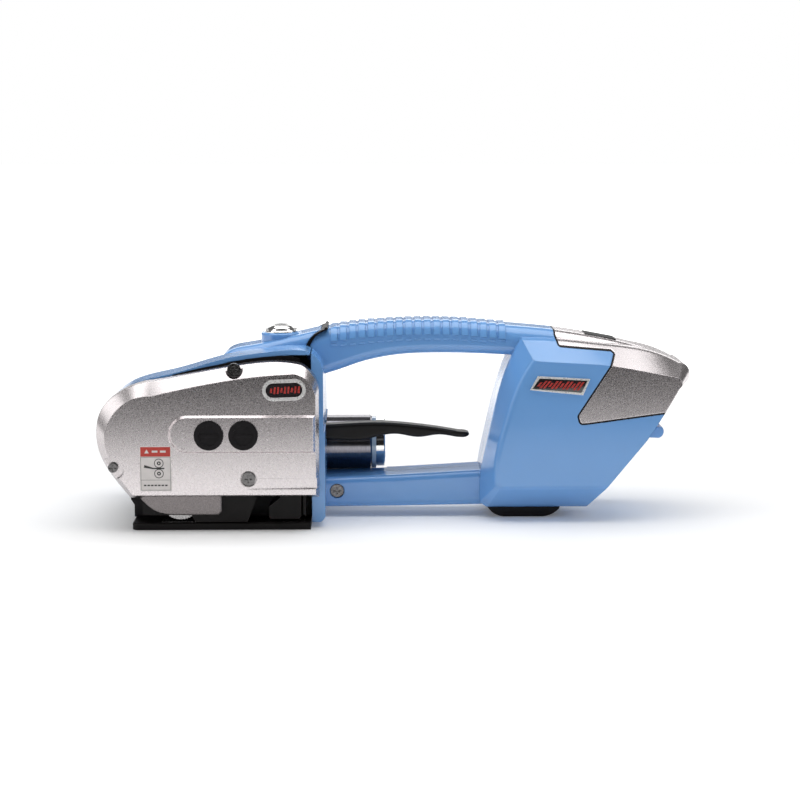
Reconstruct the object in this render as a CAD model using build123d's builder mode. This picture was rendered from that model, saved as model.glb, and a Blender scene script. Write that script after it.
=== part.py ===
from build123d import *
from math import atan2, cos, degrees, hypot, radians, sin
import os

# Battery strapping tool, hand held, for 13 to 16 mm plastic strap.
# Frame: X runs from the nose (-) to the battery end (+), Z is up, Y is the tool's width.
# The strap side, where the silver side cover is, faces -Y. Z = 0 is the plane the tool stands on
# and the origin is the centre of the tool's footprint. Millimetres throughout.

os.makedirs("parts", exist_ok=True)

# ---------------------------------------------------------------- driving dimensions
TOOL_LENGTH = 370.0
TOOL_WIDTH = 130.0
NOSE_X = -TOOL_LENGTH / 2
TAIL_X = TOOL_LENGTH / 2
NEAR_Y = -TOOL_WIDTH / 2
FAR_Y = TOOL_WIDTH / 2

HANDLE_HALF = 17.0          # half width of handle, spine and lower beam
REAR_HALF = 39.0            # half width of the battery housing
REAR_CORE_HALF = 19.0       # half width of its core, before the sides fall away
HEAD_HALF = 45.0            # half width of the gear head between its two side covers
CREST_Y = -20.0             # from here the top of the head falls away to the far side
CREST_FALL = 14.0           # degrees of that fall

COVER_BEVEL_Y = -56.0       # where the broad bevel of the side cover starts
COVER_FACE_Y = -62.0        # flat face of the side cover
PLATFORM_Y = -64.0          # raised slot-shaped platform
COVER_INNER_Y = -58.5       # inner face of the side cover

BASE_LEFT = -165.0
BASE_RIGHT = -54.2
BASE_NEAR_Y = -52.0
BASE_FAR_Y = 20.0
BASE_THICK = 4.5

FRAME_WALL_Y = (-33.5, -28.5)
FRAME_FAR_WALL_Y = (41.0, 44.5)

PIVOT = (-88.0, 41.5)       # cross shaft and rocker pivot, X and Z
WHEEL = (-135.0, 18.5)      # tension wheel centre
WHEEL_R = 12.5
ECC_SHAFT = (-64.0, 68.0)   # weld drive shaft
WELD_PIVOT = (-64.0, 40.0)
LEVER_PIVOT = (-58.0, 56.0)
MOTOR_Y = 22.0
MOTOR_Z = 41.5
MOTOR_R = 18.0
SHAFT_R = 4.0
FIT = 0.05                  # radial running clearance
GAP = 0.4                   # air gap between parts that pass each other

GEAR_MODULE = 1.0
DRIVE_TEETH = 34
IDLER_TEETH = 26
WHEEL_TEETH = 22
GEAR_Y = -36.5              # far face of the spur gears
GEAR_WIDTH = 3.5

SCREW_HEAD_R = 4.2
SCREW_SHANK_R = 1.9
SCREW_HOLE_R = 2.1


# ---------------------------------------------------------------- helpers
def side(y):
    """Sketch plane seen from the strap side: x is X, y is Z, extrusion runs towards -Y."""
    return Plane(origin=(0, y, 0), x_dir=(1, 0, 0), z_dir=(0, -1, 0))


def section(x):
    """Sketch plane across the tool: x is Y, y is Z, extrusion runs towards +X."""
    return Plane(origin=(x, 0, 0), x_dir=(0, 1, 0), z_dir=(1, 0, 0))


def finish_part(builder, name):
    """Label a finished sub-part and write it out."""
    builder.part.label = name
    export_step(builder.part, "parts/" + name + ".step")


def prism(y_far, y_near, outline, mode=Mode.ADD):
    """Solid between two Y planes with the given X-Z polygon."""
    with BuildSketch(side(y_far)) as profile:
        Polygon(*outline, align=None)
    extrude(profile.sketch, amount=y_far - y_near, mode=mode)


def disc(centre, radius, y_far, y_near, mode=Mode.ADD):
    """Cylinder along Y."""
    with BuildSketch(side(y_far)) as profile:
        with Locations(centre):
            Circle(radius)
    extrude(profile.sketch, amount=y_far - y_near, mode=mode)


def rod(y, z, radius, x_left, x_right, mode=Mode.ADD):
    """Cylinder along X."""
    with BuildSketch(section(x_left)) as profile:
        with Locations((y, z)):
            Circle(radius)
    extrude(profile.sketch, amount=x_right - x_left, mode=mode)


# ---------------------------------------------------------------- shared outlines
def cover_outline():
    """Skirt outline of the silver side cover."""
    with BuildLine() as outline:
        Spline((-165.0, 21.5), (-174.8, 34.0), (-183.9, 51.7), (NOSE_X, 64.0),
               (-182.4, 75.0), (-169.6, 87.6), (-151.3, 93.6))
        Spline((-151.3, 93.6), (-120.8, 99.3), (-93.4, 104.0), (-72.1, 105.4), (-59.5, 103.6))
        ThreePointArc((-59.5, 103.6), (-51.4, 96.0), (-48.8, 85.4))
        Polyline((-48.8, 85.4), (-48.8, 21.5), (-165.0, 21.5))
    return outline.edges()


def cover_face_outline():
    """Flat outer face of the silver side cover, inside its bevel."""
    with BuildLine() as outline:
        Spline((-162.8, 24.0), (-171.0, 35.5), (-178.2, 49.5), (-179.6, 58.6),
               (-177.0, 69.0), (-168.6, 79.6), (-151.0, 85.1))
        Spline((-151.0, 85.1), (-132.8, 89.4), (-105.4, 94.5), (-84.1, 97.3), (-63.5, 98.8))
        ThreePointArc((-63.5, 98.8), (-54.2, 93.2), (-50.6, 83.0))
        Polyline((-50.6, 83.0), (-50.6, 24.0), (-162.8, 24.0))
    return outline.edges()


HEAD_RIM = [(-166.0, 22.0), (-174.2, 33.5), (-182.4, 51.7), (-183.6, 64.0), (-180.9, 75.0),
            (-169.0, 87.8), (-155.0, 93.4), (-139.0, 97.0), (-122.0, 101.8), (-103.4, 106.8),
            (-78.8, 110.2), (-66.0, 111.4), (-57.5, 111.0)]


HEAD_MIDDLE = (-115.0, 62.0)


def head_outline(shrink=1.0):
    """Outline of the gear head, shrunk about its middle for the outer face of its far cover."""
    def place(point):
        return tuple(middle + (value - middle) * shrink for value, middle in zip(point, HEAD_MIDDLE))

    with BuildLine() as outline:
        Spline(*[place(point) for point in HEAD_RIM])
        ThreePointArc(place((-57.5, 111.0)), place((-49.4, 105.5)), place((-46.3, 95.9)))
        Polyline(place((-46.3, 95.9)), place((-46.3, 22.0)), place((-166.0, 22.0)))
    return outline.edges()


SEAM = [(-61.5, 96.0), (-59.4, 100.6), (-57.5, 106.9), (-55.6, 112.0), (-53.0, 115.8),
        (-49.2, 118.9), (-44.8, 120.8), (-38.0, 122.6)]
SEAM_THICK = 2.5

HANDLE_TOP = [(-62.0, 116.6), (-54.0, 118.9), (-45.3, 120.6), (-30.0, 122.9), (-17.2, 124.2),
              (2.0, 125.4), (21.2, 125.7), (40.3, 125.2), (65.9, 122.9), (100.6, 119.6),
              (117.3, 117.0), (139.8, 112.6), (159.2, 107.3), (172.0, 102.6)]
HANDLE_UNDER = [(-62.0, 88.5), (-45.2, 92.1), (-36.3, 94.8), (-23.6, 99.2), (-10.9, 102.3),
                (1.8, 104.2), (20.9, 105.1), (40.0, 105.0), (65.4, 104.0), (90.0, 103.0)]


def spline_height(points, x):
    """Height of a run of outline points at a given X, by straight interpolation."""
    for (x0, z0), (x1, z1) in zip(points, points[1:]):
        if x0 <= x <= x1:
            return z0 + (z1 - z0) * (x - x0) / (x1 - x0)
    raise ValueError("outside the outline")


# ---------------------------------------------------------------- silver side cover
PLATFORM_LEFT = -128.8
PLATFORM_RIGHT = -50.4
PLATFORM_Z = (49.8, 74.0)
CAP_CENTRES = [(-115.7, 61.4), (-94.7, 61.4)]
CAP_R = 9.0
COVER_SCREWS = [(-91.9, 34.1), (-174.9, 40.8), (-100.1, 101.0)]
COVER_SCREW_SEATS = [-60.3, -58.0, -57.5]
COVER_SCREW_HEADS = [4.2, 3.0, 4.2]
COVER_POST_Y = -45.0
SCREW_ENDS = [-55.2, -39.5, -39.5]
COVER_CAVITY = [(-161.0, 20.0), (-170.5, 36.0), (-178.5, 51.7), (-180.0, 63.0), (-177.5, 72.0),
                (-166.5, 84.0), (-150.0, 89.5), (-121.0, 95.4), (-93.0, 100.2), (-72.0, 101.6),
                (-61.5, 100.0), (-54.5, 93.0), (-52.0, 84.0), (-52.0, 20.0)]
COVER_CAVITY_DEEP = [(-161.0, 20.0), (-165.0, 38.0), (-171.5, 50.0), (-175.5, 58.6),
                     (-173.0, 67.5), (-166.0, 76.0), (-150.0, 81.8), (-132.0, 86.0),
                     (-105.0, 91.0), (-84.0, 93.6), (-64.5, 95.0), (-57.5, 90.5), (-54.0, 82.0),
                     (-54.0, 20.0)]

with BuildPart() as side_cover:
    with BuildSketch(side(-HEAD_HALF)):
        make_face(cover_outline())
    extrude(amount=-HEAD_HALF - COVER_BEVEL_Y)
    with BuildSketch(side(COVER_BEVEL_Y)):
        make_face(cover_outline())
    with BuildSketch(side(COVER_FACE_Y)):
        make_face(cover_face_outline())
    loft(ruled=True)
    # raised platform with bevelled edges
    platform_height = PLATFORM_Z[1] - PLATFORM_Z[0]
    with BuildSketch(side(COVER_FACE_Y + 0.5)):
        with Locations((PLATFORM_LEFT, sum(PLATFORM_Z) / 2)):
            Circle(platform_height / 2)
        with Locations(((PLATFORM_LEFT + PLATFORM_RIGHT) / 2, sum(PLATFORM_Z) / 2)):
            Rectangle(PLATFORM_RIGHT - PLATFORM_LEFT, platform_height)
    extrude(amount=COVER_FACE_Y + 0.5 - PLATFORM_Y, taper=36)
    # hollow inside, left solid round the nose screw and the notch screw
    with BuildSketch(side(-HEAD_HALF)):
        Polygon(*COVER_CAVITY, align=None)
        with Locations(*COVER_SCREWS[1:]):
            Circle(5.5, mode=Mode.SUBTRACT)
    extrude(amount=-HEAD_HALF - (COVER_BEVEL_Y + 2.5), mode=Mode.SUBTRACT)
    prism(COVER_BEVEL_Y + 2.5, COVER_INNER_Y, COVER_CAVITY_DEEP, mode=Mode.SUBTRACT)
    # wedge-shaped groove running out to the right edge
    with BuildSketch(Plane.XY.offset(27.7)):
        Polygon((-97.0, COVER_FACE_Y - 0.2), (-48.0, COVER_FACE_Y - 0.2), (-48.0, -60.0), align=None)
    extrude(amount=6.5, mode=Mode.SUBTRACT)
    # crescent seat at the nose and open notch on the top edge
    disc(COVER_SCREWS[1], 7.2, COVER_SCREW_SEATS[1], NEAR_Y - 1, mode=Mode.SUBTRACT)
    disc(COVER_SCREWS[2], 5.2, COVER_SCREW_SEATS[2], NEAR_Y - 1, mode=Mode.SUBTRACT)
    prism(COVER_SCREW_SEATS[2], NEAR_Y - 1,
          [(-105.3, 101.0), (-94.9, 101.0), (-94.9, 112.0), (-105.3, 112.0)], mode=Mode.SUBTRACT)
    disc(COVER_SCREWS[0], 4.8, COVER_SCREW_SEATS[0], NEAR_Y - 1, mode=Mode.SUBTRACT)
    for centre in COVER_SCREWS:
        disc(centre, SCREW_HOLE_R, -HEAD_HALF + 1, NEAR_Y - 1, mode=Mode.SUBTRACT)
    # holes behind the two press-in caps
    for centre in CAP_CENTRES:
        disc(centre, 7.0, -HEAD_HALF - 1, NEAR_Y - 1, mode=Mode.SUBTRACT)
finish_part(side_cover, "side_cover")

# soft caps pressed into the two adjuster holes
for name, centre in zip(("cap_front", "cap_rear"), CAP_CENTRES):
    with BuildPart() as cap:
        disc(centre, CAP_R, PLATFORM_Y, NEAR_Y)
        disc(centre, 6.9, COVER_INNER_Y, PLATFORM_Y)
        disc(centre, 6.2, PLATFORM_Y - 0.5, NEAR_Y - 1, mode=Mode.SUBTRACT)
        with BuildSketch(side(PLATFORM_Y - 0.5)):
            with Locations(centre):
                Rectangle(11.0, 1.6)
        extrude(amount=0.4)
    finish_part(cap, name)

# adjuster screws behind the caps
with BuildPart() as adjusters:
    for centre in CAP_CENTRES:
        disc(centre, 5.0, -46.0, -56.0)
        with BuildSketch(side(-54.5)):
            with Locations(centre):
                Rectangle(8.0, 1.4)
        extrude(amount=2.0, mode=Mode.SUBTRACT)
        disc(centre, 3.0, FRAME_WALL_Y[0], -46.0)
finish_part(adjusters, "adjuster_screws")

with BuildPart() as cover_screws:
    for centre, seat, end, head in zip(COVER_SCREWS, COVER_SCREW_SEATS, SCREW_ENDS,
                                       COVER_SCREW_HEADS):
        disc(centre, head, seat, seat - 1.9)
        disc(centre, SCREW_SHANK_R, end, seat)
        with BuildSketch(side(seat - 0.9)):
            with Locations(centre):
                Rectangle(4.6, 0.9)
                Rectangle(0.9, 4.6)
        extrude(amount=1.5, mode=Mode.SUBTRACT)
finish_part(cover_screws, "cover_screws")

# bracket inside the cover that carries the near bearing of the cross shaft
with BuildPart() as bearing_bracket:
    with BuildSketch(side(-54.8)):
        with Locations(PIVOT):
            Circle(8.0)
        with Locations(COVER_SCREWS[0]):
            Circle(5.0)
    extrude(amount=-54.8 - COVER_INNER_Y)
    disc(PIVOT, SHAFT_R + FIT, -50.0, -57.0, mode=Mode.SUBTRACT)
    disc(COVER_SCREWS[0], SCREW_HOLE_R, -50.0, -60.0, mode=Mode.SUBTRACT)
finish_part(bearing_bracket, "bearing_bracket")

# oval badge and plain information label on the flat face
BADGE_CENTRE = (-69.6, 89.2)
with BuildPart() as oval_badge:
    with BuildSketch(side(COVER_FACE_Y)):
        with Locations(Location((BADGE_CENTRE[0], BADGE_CENTRE[1]), 2.0)):
            SlotOverall(26.4, 13.0)
    extrude(amount=1.5)
    with BuildSketch(side(COVER_FACE_Y - 0.8)):
        with Locations(Location((BADGE_CENTRE[0], BADGE_CENTRE[1]), 2.0)):
            SlotOverall(22.4, 9.0)
    extrude(amount=1.0, mode=Mode.SUBTRACT)
finish_part(oval_badge, "oval_badge")

with BuildPart() as info_label:
    with BuildSketch(side(COVER_FACE_Y)):
        with Locations((-148.5, 40.8)):
            RectangleRounded(19.4, 28.2, 1.0)
    extrude(amount=0.3)
finish_part(info_label, "info_label")

# ---------------------------------------------------------------- base plate and strap floor
with BuildPart() as base_plate:
    with BuildSketch(Plane.XY):
        with Locations(((BASE_LEFT + BASE_RIGHT) / 2, (BASE_NEAR_Y + BASE_FAR_Y) / 2)):
            Rectangle(BASE_RIGHT - BASE_LEFT, BASE_FAR_Y - BASE_NEAR_Y)
    extrude(amount=BASE_THICK)
    fillet(base_plate.edges().filter_by(Axis.Z).group_by(Axis.X)[0], 4.0)
    chamfer(base_plate.faces().sort_by(Axis.Z)[-1].edges().sort_by(Axis.Y)[0], 0.8)
    # pocket for the gripping plate under the tension wheel
    with BuildSketch(Plane.XY.offset(BASE_THICK - 2.0)):
        with Locations((WHEEL[0], -45.0)):
            Rectangle(24.0, 10.0)
    extrude(amount=2.5, mode=Mode.SUBTRACT)
    # pocket for the lower weld plate
    with BuildSketch(Plane.XY.offset(BASE_THICK - 2.0)):
        with Locations((-70.0, -42.5)):
            Rectangle(24.0, 13.0)
    extrude(amount=2.5, mode=Mode.SUBTRACT)
    # countersunk screws up into the frame floor
    for x in (-150.0, -100.0, -62.0):
        for y in (-15.0, 10.0):
            with Locations((x, y, 0.8)):
                Cylinder(3.6, 0.81, align=(Align.CENTER, Align.CENTER, Align.MAX), mode=Mode.SUBTRACT)
            with Locations((x, y, 0)):
                Cylinder(SCREW_HOLE_R, 20.0, mode=Mode.SUBTRACT)
finish_part(base_plate, "base_plate")

with BuildPart() as base_screws:
    for x in (-150.0, -100.0, -62.0):
        for y in (-15.0, 10.0):
            with Locations((x, y, 0.8)):
                Cylinder(3.5, 0.6, align=(Align.CENTER, Align.CENTER, Align.MAX))
            with Locations((x, y, 0.2)):
                Cylinder(SCREW_SHANK_R, 8.3, align=(Align.CENTER, Align.CENTER, Align.MIN))
finish_part(base_screws, "base_screws")

with BuildPart() as tooth_plate:
    with BuildSketch(Plane.XY.offset(BASE_THICK - 2.0)):
        with Locations((WHEEL[0], -45.0)):
            Rectangle(24.0, 10.0)
    extrude(amount=1.9)
    tooth_count = 12
    with BuildSketch(Plane.XZ.offset(40.0)):
        for index in range(tooth_count):
            tooth_x = WHEEL[0] - 12.0 + 2.0 * index
            Polygon((tooth_x, 4.2), (tooth_x + 2.0, 4.2), (tooth_x + 1.2, 4.9), (tooth_x + 0.8, 4.9),
                    align=None)
    extrude(amount=10.0)
finish_part(tooth_plate, "gripping_plate")

with BuildPart() as weld_plate:
    with BuildSketch(Plane.XY.offset(BASE_THICK - 2.0)):
        with Locations((-70.0, -42.5)):
            Rectangle(24.0, 13.0)
    extrude(amount=2.0)
    with BuildSketch(Plane.XZ.offset(36.0)):
        for index in range(11):
            with Locations((-80.0 + 2.0 * index, BASE_THICK)):
                Rectangle(0.8, 0.5)
    extrude(amount=13.0, mode=Mode.SUBTRACT)
finish_part(weld_plate, "weld_plate")

# ---------------------------------------------------------------- frame casting
FRAME_OUTLINE = [(-165.5, 4.5), (-165.5, 12.2), (-167.6, 15.5), (-168.2, 27.0), (-178.0, 50.0),
                 (-179.0, 64.0), (-176.0, 74.0), (-165.0, 84.5), (-152.0, 89.5), (-120.0, 97.0),
                 (-78.0, 105.5), (-66.0, 106.8), (-57.0, 106.0), (-54.0, 100.0), (-54.0, 4.5)]
FRAME_FAR_OUTLINE = [(-160.0, 4.5), (-160.0, 30.0), (-150.0, 60.0), (-120.0, 72.0), (-56.0, 84.0),
                     (-54.0, 80.0), (-54.0, 4.5)]
HUB_R = 10.0
with BuildPart() as frame_casting:
    prism(FRAME_WALL_Y[1], FRAME_WALL_Y[0], FRAME_OUTLINE)
    prism(FRAME_FAR_WALL_Y[1], FRAME_FAR_WALL_Y[0], FRAME_FAR_OUTLINE)
    with BuildSketch(Plane.XY.offset(BASE_THICK)):
        with Locations((-109.0, (FRAME_WALL_Y[1] + FRAME_FAR_WALL_Y[0]) / 2)):
            Rectangle(106.0, FRAME_FAR_WALL_Y[0] - FRAME_WALL_Y[1] + 2.0)
    extrude(amount=5.0)
    # posts that carry the side cover
    for centre in COVER_SCREWS[1:]:
        disc(centre, 3.0, FRAME_WALL_Y[0], COVER_POST_Y)
        disc(centre, SCREW_HOLE_R, FRAME_WALL_Y[0] - 5.5, COVER_POST_Y - 1.0, mode=Mode.SUBTRACT)
    # sloping front wall
    prism(FRAME_FAR_WALL_Y[1], FRAME_WALL_Y[0],
          [(-165.5, 4.5), (-165.5, 12.2), (-168.0, 27.0), (-177.3, 45.6), (-173.5, 45.6),
           (-164.0, 27.0), (-161.5, 12.0), (-161.5, 4.5)])
    # bearing seats
    disc(PIVOT, HUB_R + FIT, FRAME_WALL_Y[1] + 1, FRAME_WALL_Y[0] - 1, mode=Mode.SUBTRACT)
    disc(PIVOT, SHAFT_R + FIT, FRAME_FAR_WALL_Y[1] + 1, FRAME_FAR_WALL_Y[0] - 1, mode=Mode.SUBTRACT)
    disc(ECC_SHAFT, SHAFT_R + FIT, FRAME_FAR_WALL_Y[1] + 1, FRAME_WALL_Y[0] - 1, mode=Mode.SUBTRACT)
    # pins of the weld arm and of the blade
    disc(WELD_PIVOT, 3.0, FRAME_WALL_Y[0], -50.0)
    # motor mounting bulkhead
    with BuildSketch(section(-66.0)):
        with Locations((MOTOR_Y, 33.0)):
            Rectangle(38.0, 48.0)
        with Locations((MOTOR_Y, MOTOR_Z)):
            Circle(11.5, mode=Mode.SUBTRACT)
        with Locations((MOTOR_Y + 15.0, 56.0)):
            Rectangle(10.4, 20.0, mode=Mode.SUBTRACT)
    extrude(amount=4.0)
    # screw holes in the floor
    for x in (-150.0, -100.0, -62.0):
        for y in (-15.0, 10.0):
            with Locations((x, y, 4.0)):
                Cylinder(SCREW_HOLE_R, 5.0, align=(Align.CENTER, Align.CENTER, Align.MIN),
                         mode=Mode.SUBTRACT)
finish_part(frame_casting, "frame_casting")


# ---------------------------------------------------------------- motor and bevel drive
MOTOR_LEFT = -62.0
MOTOR_RIGHT = -16.0
with BuildPart() as motor_can:
    rod(MOTOR_Y, MOTOR_Z, MOTOR_R, MOTOR_LEFT, MOTOR_RIGHT)
    chamfer(motor_can.faces().sort_by(Axis.X)[-1].edges(), 1.0)
    rod(MOTOR_Y, MOTOR_Z, 11.0, MOTOR_LEFT - 4.0, MOTOR_LEFT)
    rod(MOTOR_Y, MOTOR_Z, 4.5, MOTOR_LEFT - 5.0, MOTOR_LEFT + 8.0, mode=Mode.SUBTRACT)
finish_part(motor_can, "motor_can")

with BuildPart() as motor_ring:
    rod(MOTOR_Y, MOTOR_Z, 17.2, MOTOR_RIGHT, MOTOR_RIGHT + 2.6)
finish_part(motor_ring, "motor_ring")

with BuildPart() as motor_end_cap:
    rod(MOTOR_Y, MOTOR_Z, 16.0, MOTOR_RIGHT + 2.6, MOTOR_RIGHT + 8.5)
    chamfer(motor_end_cap.faces().sort_by(Axis.X)[-1].edges(), 0.8)
    with BuildSketch(section(MOTOR_RIGHT + 7.5)):
        with Locations((MOTOR_Y, MOTOR_Z)):
            with PolarLocations(9.0, 6):
                Circle(1.8)
    extrude(amount=2.0, mode=Mode.SUBTRACT)
finish_part(motor_end_cap, "motor_end_cap")

BEVEL_GEAR_R = 14.0
BEVEL_PINION_R = 9.0
BEVEL_GEAR_TEETH = 28
BEVEL_PINION_TEETH = 18
BEVEL_FACE = 5.0


def bevel_blank(origin, axis_dir, pitch_r, mate_r, teeth, phase):
    """Straight bevel gear whose apex lies at the origin point and whose teeth face the apex."""
    plane = Plane(origin=origin, x_dir=(0, 0, 1), z_dir=axis_dir)
    cone = hypot(pitch_r, mate_r)
    inner = (cone - BEVEL_FACE) / cone
    root = 1.05
    with BuildSketch(plane.offset(mate_r)) as heel:
        Circle(pitch_r - root)
    with BuildSketch(plane.offset(mate_r * inner)) as toe:
        Circle((pitch_r - root) * inner)
    loft([heel.sketch, toe.sketch], ruled=True)
    tooth_angle = 360.0 / teeth
    half = 0.19 * tooth_angle
    for index in range(teeth):
        angle = phase + index * tooth_angle
        ends = []
        for scale_at in (1.0, inner):
            with BuildSketch(plane.offset(mate_r * scale_at)) as tooth_end:
                Polygon(*[((pitch_r + rise) * scale_at * cos(radians(angle + turn)),
                           (pitch_r + rise) * scale_at * sin(radians(angle + turn)))
                          for rise, turn in ((-root - 0.3, -half * 1.7), (0.6, -half * 0.8),
                                             (0.6, half * 0.8), (-root - 0.3, half * 1.7))],
                        align=None)
            ends.append(tooth_end.sketch)
        loft(ends, ruled=True)


with BuildPart() as motor_pinion:
    bevel_blank((PIVOT[0], MOTOR_Y, MOTOR_Z), (1, 0, 0), BEVEL_PINION_R, BEVEL_GEAR_R,
                BEVEL_PINION_TEETH, 0.0)
    rod(MOTOR_Y, MOTOR_Z, 6.0, PIVOT[0] + BEVEL_GEAR_R, PIVOT[0] + BEVEL_GEAR_R + 3.0)
    rod(MOTOR_Y, MOTOR_Z, 3.0, PIVOT[0] + BEVEL_GEAR_R, MOTOR_LEFT + 5.0)
finish_part(motor_pinion, "motor_pinion")

# cross shaft, with the bevel gear and the belt pulley on it
BELT_Y = (39.0, 34.0)
PULLEY_A_R = 12.0
PULLEY_E_R = 9.0
with BuildPart() as cross_shaft:
    disc(PIVOT, SHAFT_R, FRAME_FAR_WALL_Y[1], -56.6)
finish_part(cross_shaft, "cross_shaft")

with BuildPart() as bevel_gear:
    bevel_blank((PIVOT[0], MOTOR_Y, MOTOR_Z), (0, -1, 0), BEVEL_GEAR_R, BEVEL_PINION_R,
                BEVEL_GEAR_TEETH, 0.0)
    disc(PIVOT, 8.0, MOTOR_Y - BEVEL_PINION_R, MOTOR_Y - BEVEL_PINION_R - 4.0)
    disc(PIVOT, SHAFT_R, MOTOR_Y, -1.0, mode=Mode.SUBTRACT)
finish_part(bevel_gear, "bevel_gear")


def pulley(centre, radius, bore):
    """Flanged belt pulley."""
    disc(centre, radius - 1.2, BELT_Y[0], BELT_Y[1])
    disc(centre, radius + 1.0, BELT_Y[0] + 1.2, BELT_Y[0])
    disc(centre, radius + 1.0, BELT_Y[1], BELT_Y[1] - 1.2)
    disc(centre, bore, BELT_Y[0] + 2.0, BELT_Y[1] - 2.0, mode=Mode.SUBTRACT)


with BuildPart() as pulley_drive:
    pulley(PIVOT, PULLEY_A_R, SHAFT_R)
finish_part(pulley_drive, "drive_pulley")

with BuildPart() as pulley_weld:
    pulley(ECC_SHAFT, PULLEY_E_R, SHAFT_R)
finish_part(pulley_weld, "weld_pulley")

belt_angle = degrees(atan2(ECC_SHAFT[1] - PIVOT[1], ECC_SHAFT[0] - PIVOT[0]))
belt_span = hypot(ECC_SHAFT[1] - PIVOT[1], ECC_SHAFT[0] - PIVOT[0])
BELT_AIR = 0.35
BELT_THICK = 1.0
with BuildPart() as drive_belt:
    with BuildSketch(side(BELT_Y[0] - BELT_AIR)):
        for grow, mode in ((BELT_AIR + BELT_THICK, Mode.ADD), (BELT_AIR, Mode.SUBTRACT)):
            with Locations(PIVOT):
                Circle(PULLEY_A_R - 1.2 + grow, mode=mode)
            with Locations(ECC_SHAFT):
                Circle(PULLEY_E_R - 1.2 + grow, mode=mode)
            lean = degrees((PULLEY_A_R - PULLEY_E_R) / belt_span)
            corners = []
            for sign in (1, -1):
                normal = radians(belt_angle + sign * (90.0 - lean))
                for centre, radius in ((PIVOT, PULLEY_A_R), (ECC_SHAFT, PULLEY_E_R)):
                    reach = radius - 1.2 + grow
                    corners.append((centre[0] + reach * cos(normal), centre[1] + reach * sin(normal)))
            Polygon(corners[0], corners[1], corners[3], corners[2], align=None, mode=mode)
    extrude(amount=BELT_Y[0] - BELT_Y[1] - 2 * BELT_AIR)
finish_part(drive_belt, "drive_belt")

# weld drive shaft with its eccentric
ECC_THROW = 1.25
ECC_R = 5.0
WELD_Y = (-38.0, -42.0)
with BuildPart() as weld_shaft:
    disc(ECC_SHAFT, SHAFT_R, FRAME_FAR_WALL_Y[1], -37.0)
    disc((ECC_SHAFT[0], ECC_SHAFT[1] + ECC_THROW), ECC_R, -37.0, -43.0)
finish_part(weld_shaft, "weld_shaft")

with BuildPart() as weld_arm:
    fork_half = ECC_R + 2 * ECC_THROW + GAP
    with BuildSketch(side(WELD_Y[0])):
        with Locations((WELD_PIVOT[0], 43.0)):
            Rectangle(8.0, 38.0)
        with Locations(WELD_PIVOT):
            Circle(5.2)
        with Locations((ECC_SHAFT[0], 67.5)):
            Rectangle(2 * fork_half + 5.0, 20.0)
        with Locations((ECC_SHAFT[0], 71.0)):
            Rectangle(2 * fork_half, 24.0, mode=Mode.SUBTRACT)
    extrude(amount=WELD_Y[0] - WELD_Y[1])
    disc(WELD_PIVOT, 3.0 + FIT, WELD_Y[0] + 1, WELD_Y[1] - 1, mode=Mode.SUBTRACT)
finish_part(weld_arm, "weld_arm")

with BuildPart() as weld_shoe:
    with BuildSketch(side(-36.5)):
        Polygon((-79.0, 6.2), (-61.5, 6.2), (-60.3, 8.0), (-60.3, 24.0), (-68.0, 24.0), (-80.0, 14.0),
                (-80.0, 7.0), align=None)
    extrude(amount=12.5)
    prism(-37.5, -42.5, [(-68.2, 18.0), (-59.8, 18.0), (-59.8, 25.0), (-68.2, 25.0)],
          mode=Mode.SUBTRACT)
    with BuildSketch(side(-36.0)):
        for index in range(9):
            with Locations((-78.5 + 2.0 * index, 6.2)):
                Rectangle(0.8, 0.6)
    extrude(amount=14.0, mode=Mode.SUBTRACT)
finish_part(weld_shoe, "weld_shoe")

with BuildPart() as cutter_blade:
    prism(-36.5, -49.5, [(-58.8, 9.0), (-57.3, 8.0), (-57.3, 34.0), (-58.8, 34.0)])
finish_part(cutter_blade, "cutter_blade")


# ---------------------------------------------------------------- rocker with the tension wheel
def spur(centre, teeth, phase, bore, far_y=GEAR_Y, width=GEAR_WIDTH):
    """Spur gear with straight-flanked teeth; a tooth is centred at the phase angle."""
    pitch_r = GEAR_MODULE * teeth / 2
    root_r = pitch_r - 1.15 * GEAR_MODULE
    tooth_angle = 360.0 / teeth
    with BuildSketch(side(far_y)) as blank:
        with Locations(centre):
            Circle(root_r)
        for index in range(teeth):
            middle = phase + index * tooth_angle
            corners = []
            for radius, half in ((root_r - 0.3, 0.27), (pitch_r + 0.75 * GEAR_MODULE, 0.10)):
                for sign in (-1, 1):
                    angle = radians(middle + sign * half * tooth_angle)
                    corners.append((centre[0] + radius * cos(angle), centre[1] + radius * sin(angle)))
            Polygon(corners[0], corners[1], corners[3], corners[2], align=None)
        with Locations(centre):
            Circle(bore, mode=Mode.SUBTRACT)
    extrude(blank.sketch, amount=width)


def toward(start, end):
    """Angle from one centre to another in the side view."""
    return degrees(atan2(end[1] - start[1], end[0] - start[0]))


drive_r = GEAR_MODULE * (DRIVE_TEETH + IDLER_TEETH) / 2
wheel_r = GEAR_MODULE * (IDLER_TEETH + WHEEL_TEETH) / 2
pivot_to_wheel = hypot(WHEEL[0] - PIVOT[0], WHEEL[1] - PIVOT[1])
cosine = (drive_r ** 2 + pivot_to_wheel ** 2 - wheel_r ** 2) / (2 * drive_r * pivot_to_wheel)
idler_turn = degrees(atan2((1 - cosine ** 2) ** 0.5, cosine))
idler_angle = toward(PIVOT, WHEEL) - idler_turn
IDLER = (PIVOT[0] + drive_r * cos(radians(idler_angle)), PIVOT[1] + drive_r * sin(radians(idler_angle)))
idler_to_drive = toward(IDLER, PIVOT)
idler_phase = idler_to_drive + 180.0 / IDLER_TEETH
idler_pitch = 360.0 / IDLER_TEETH
idler_to_wheel = toward(IDLER, WHEEL)
steps = round((idler_to_wheel - idler_phase) / idler_pitch)
idler_offset = idler_phase + steps * idler_pitch - idler_to_wheel
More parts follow.
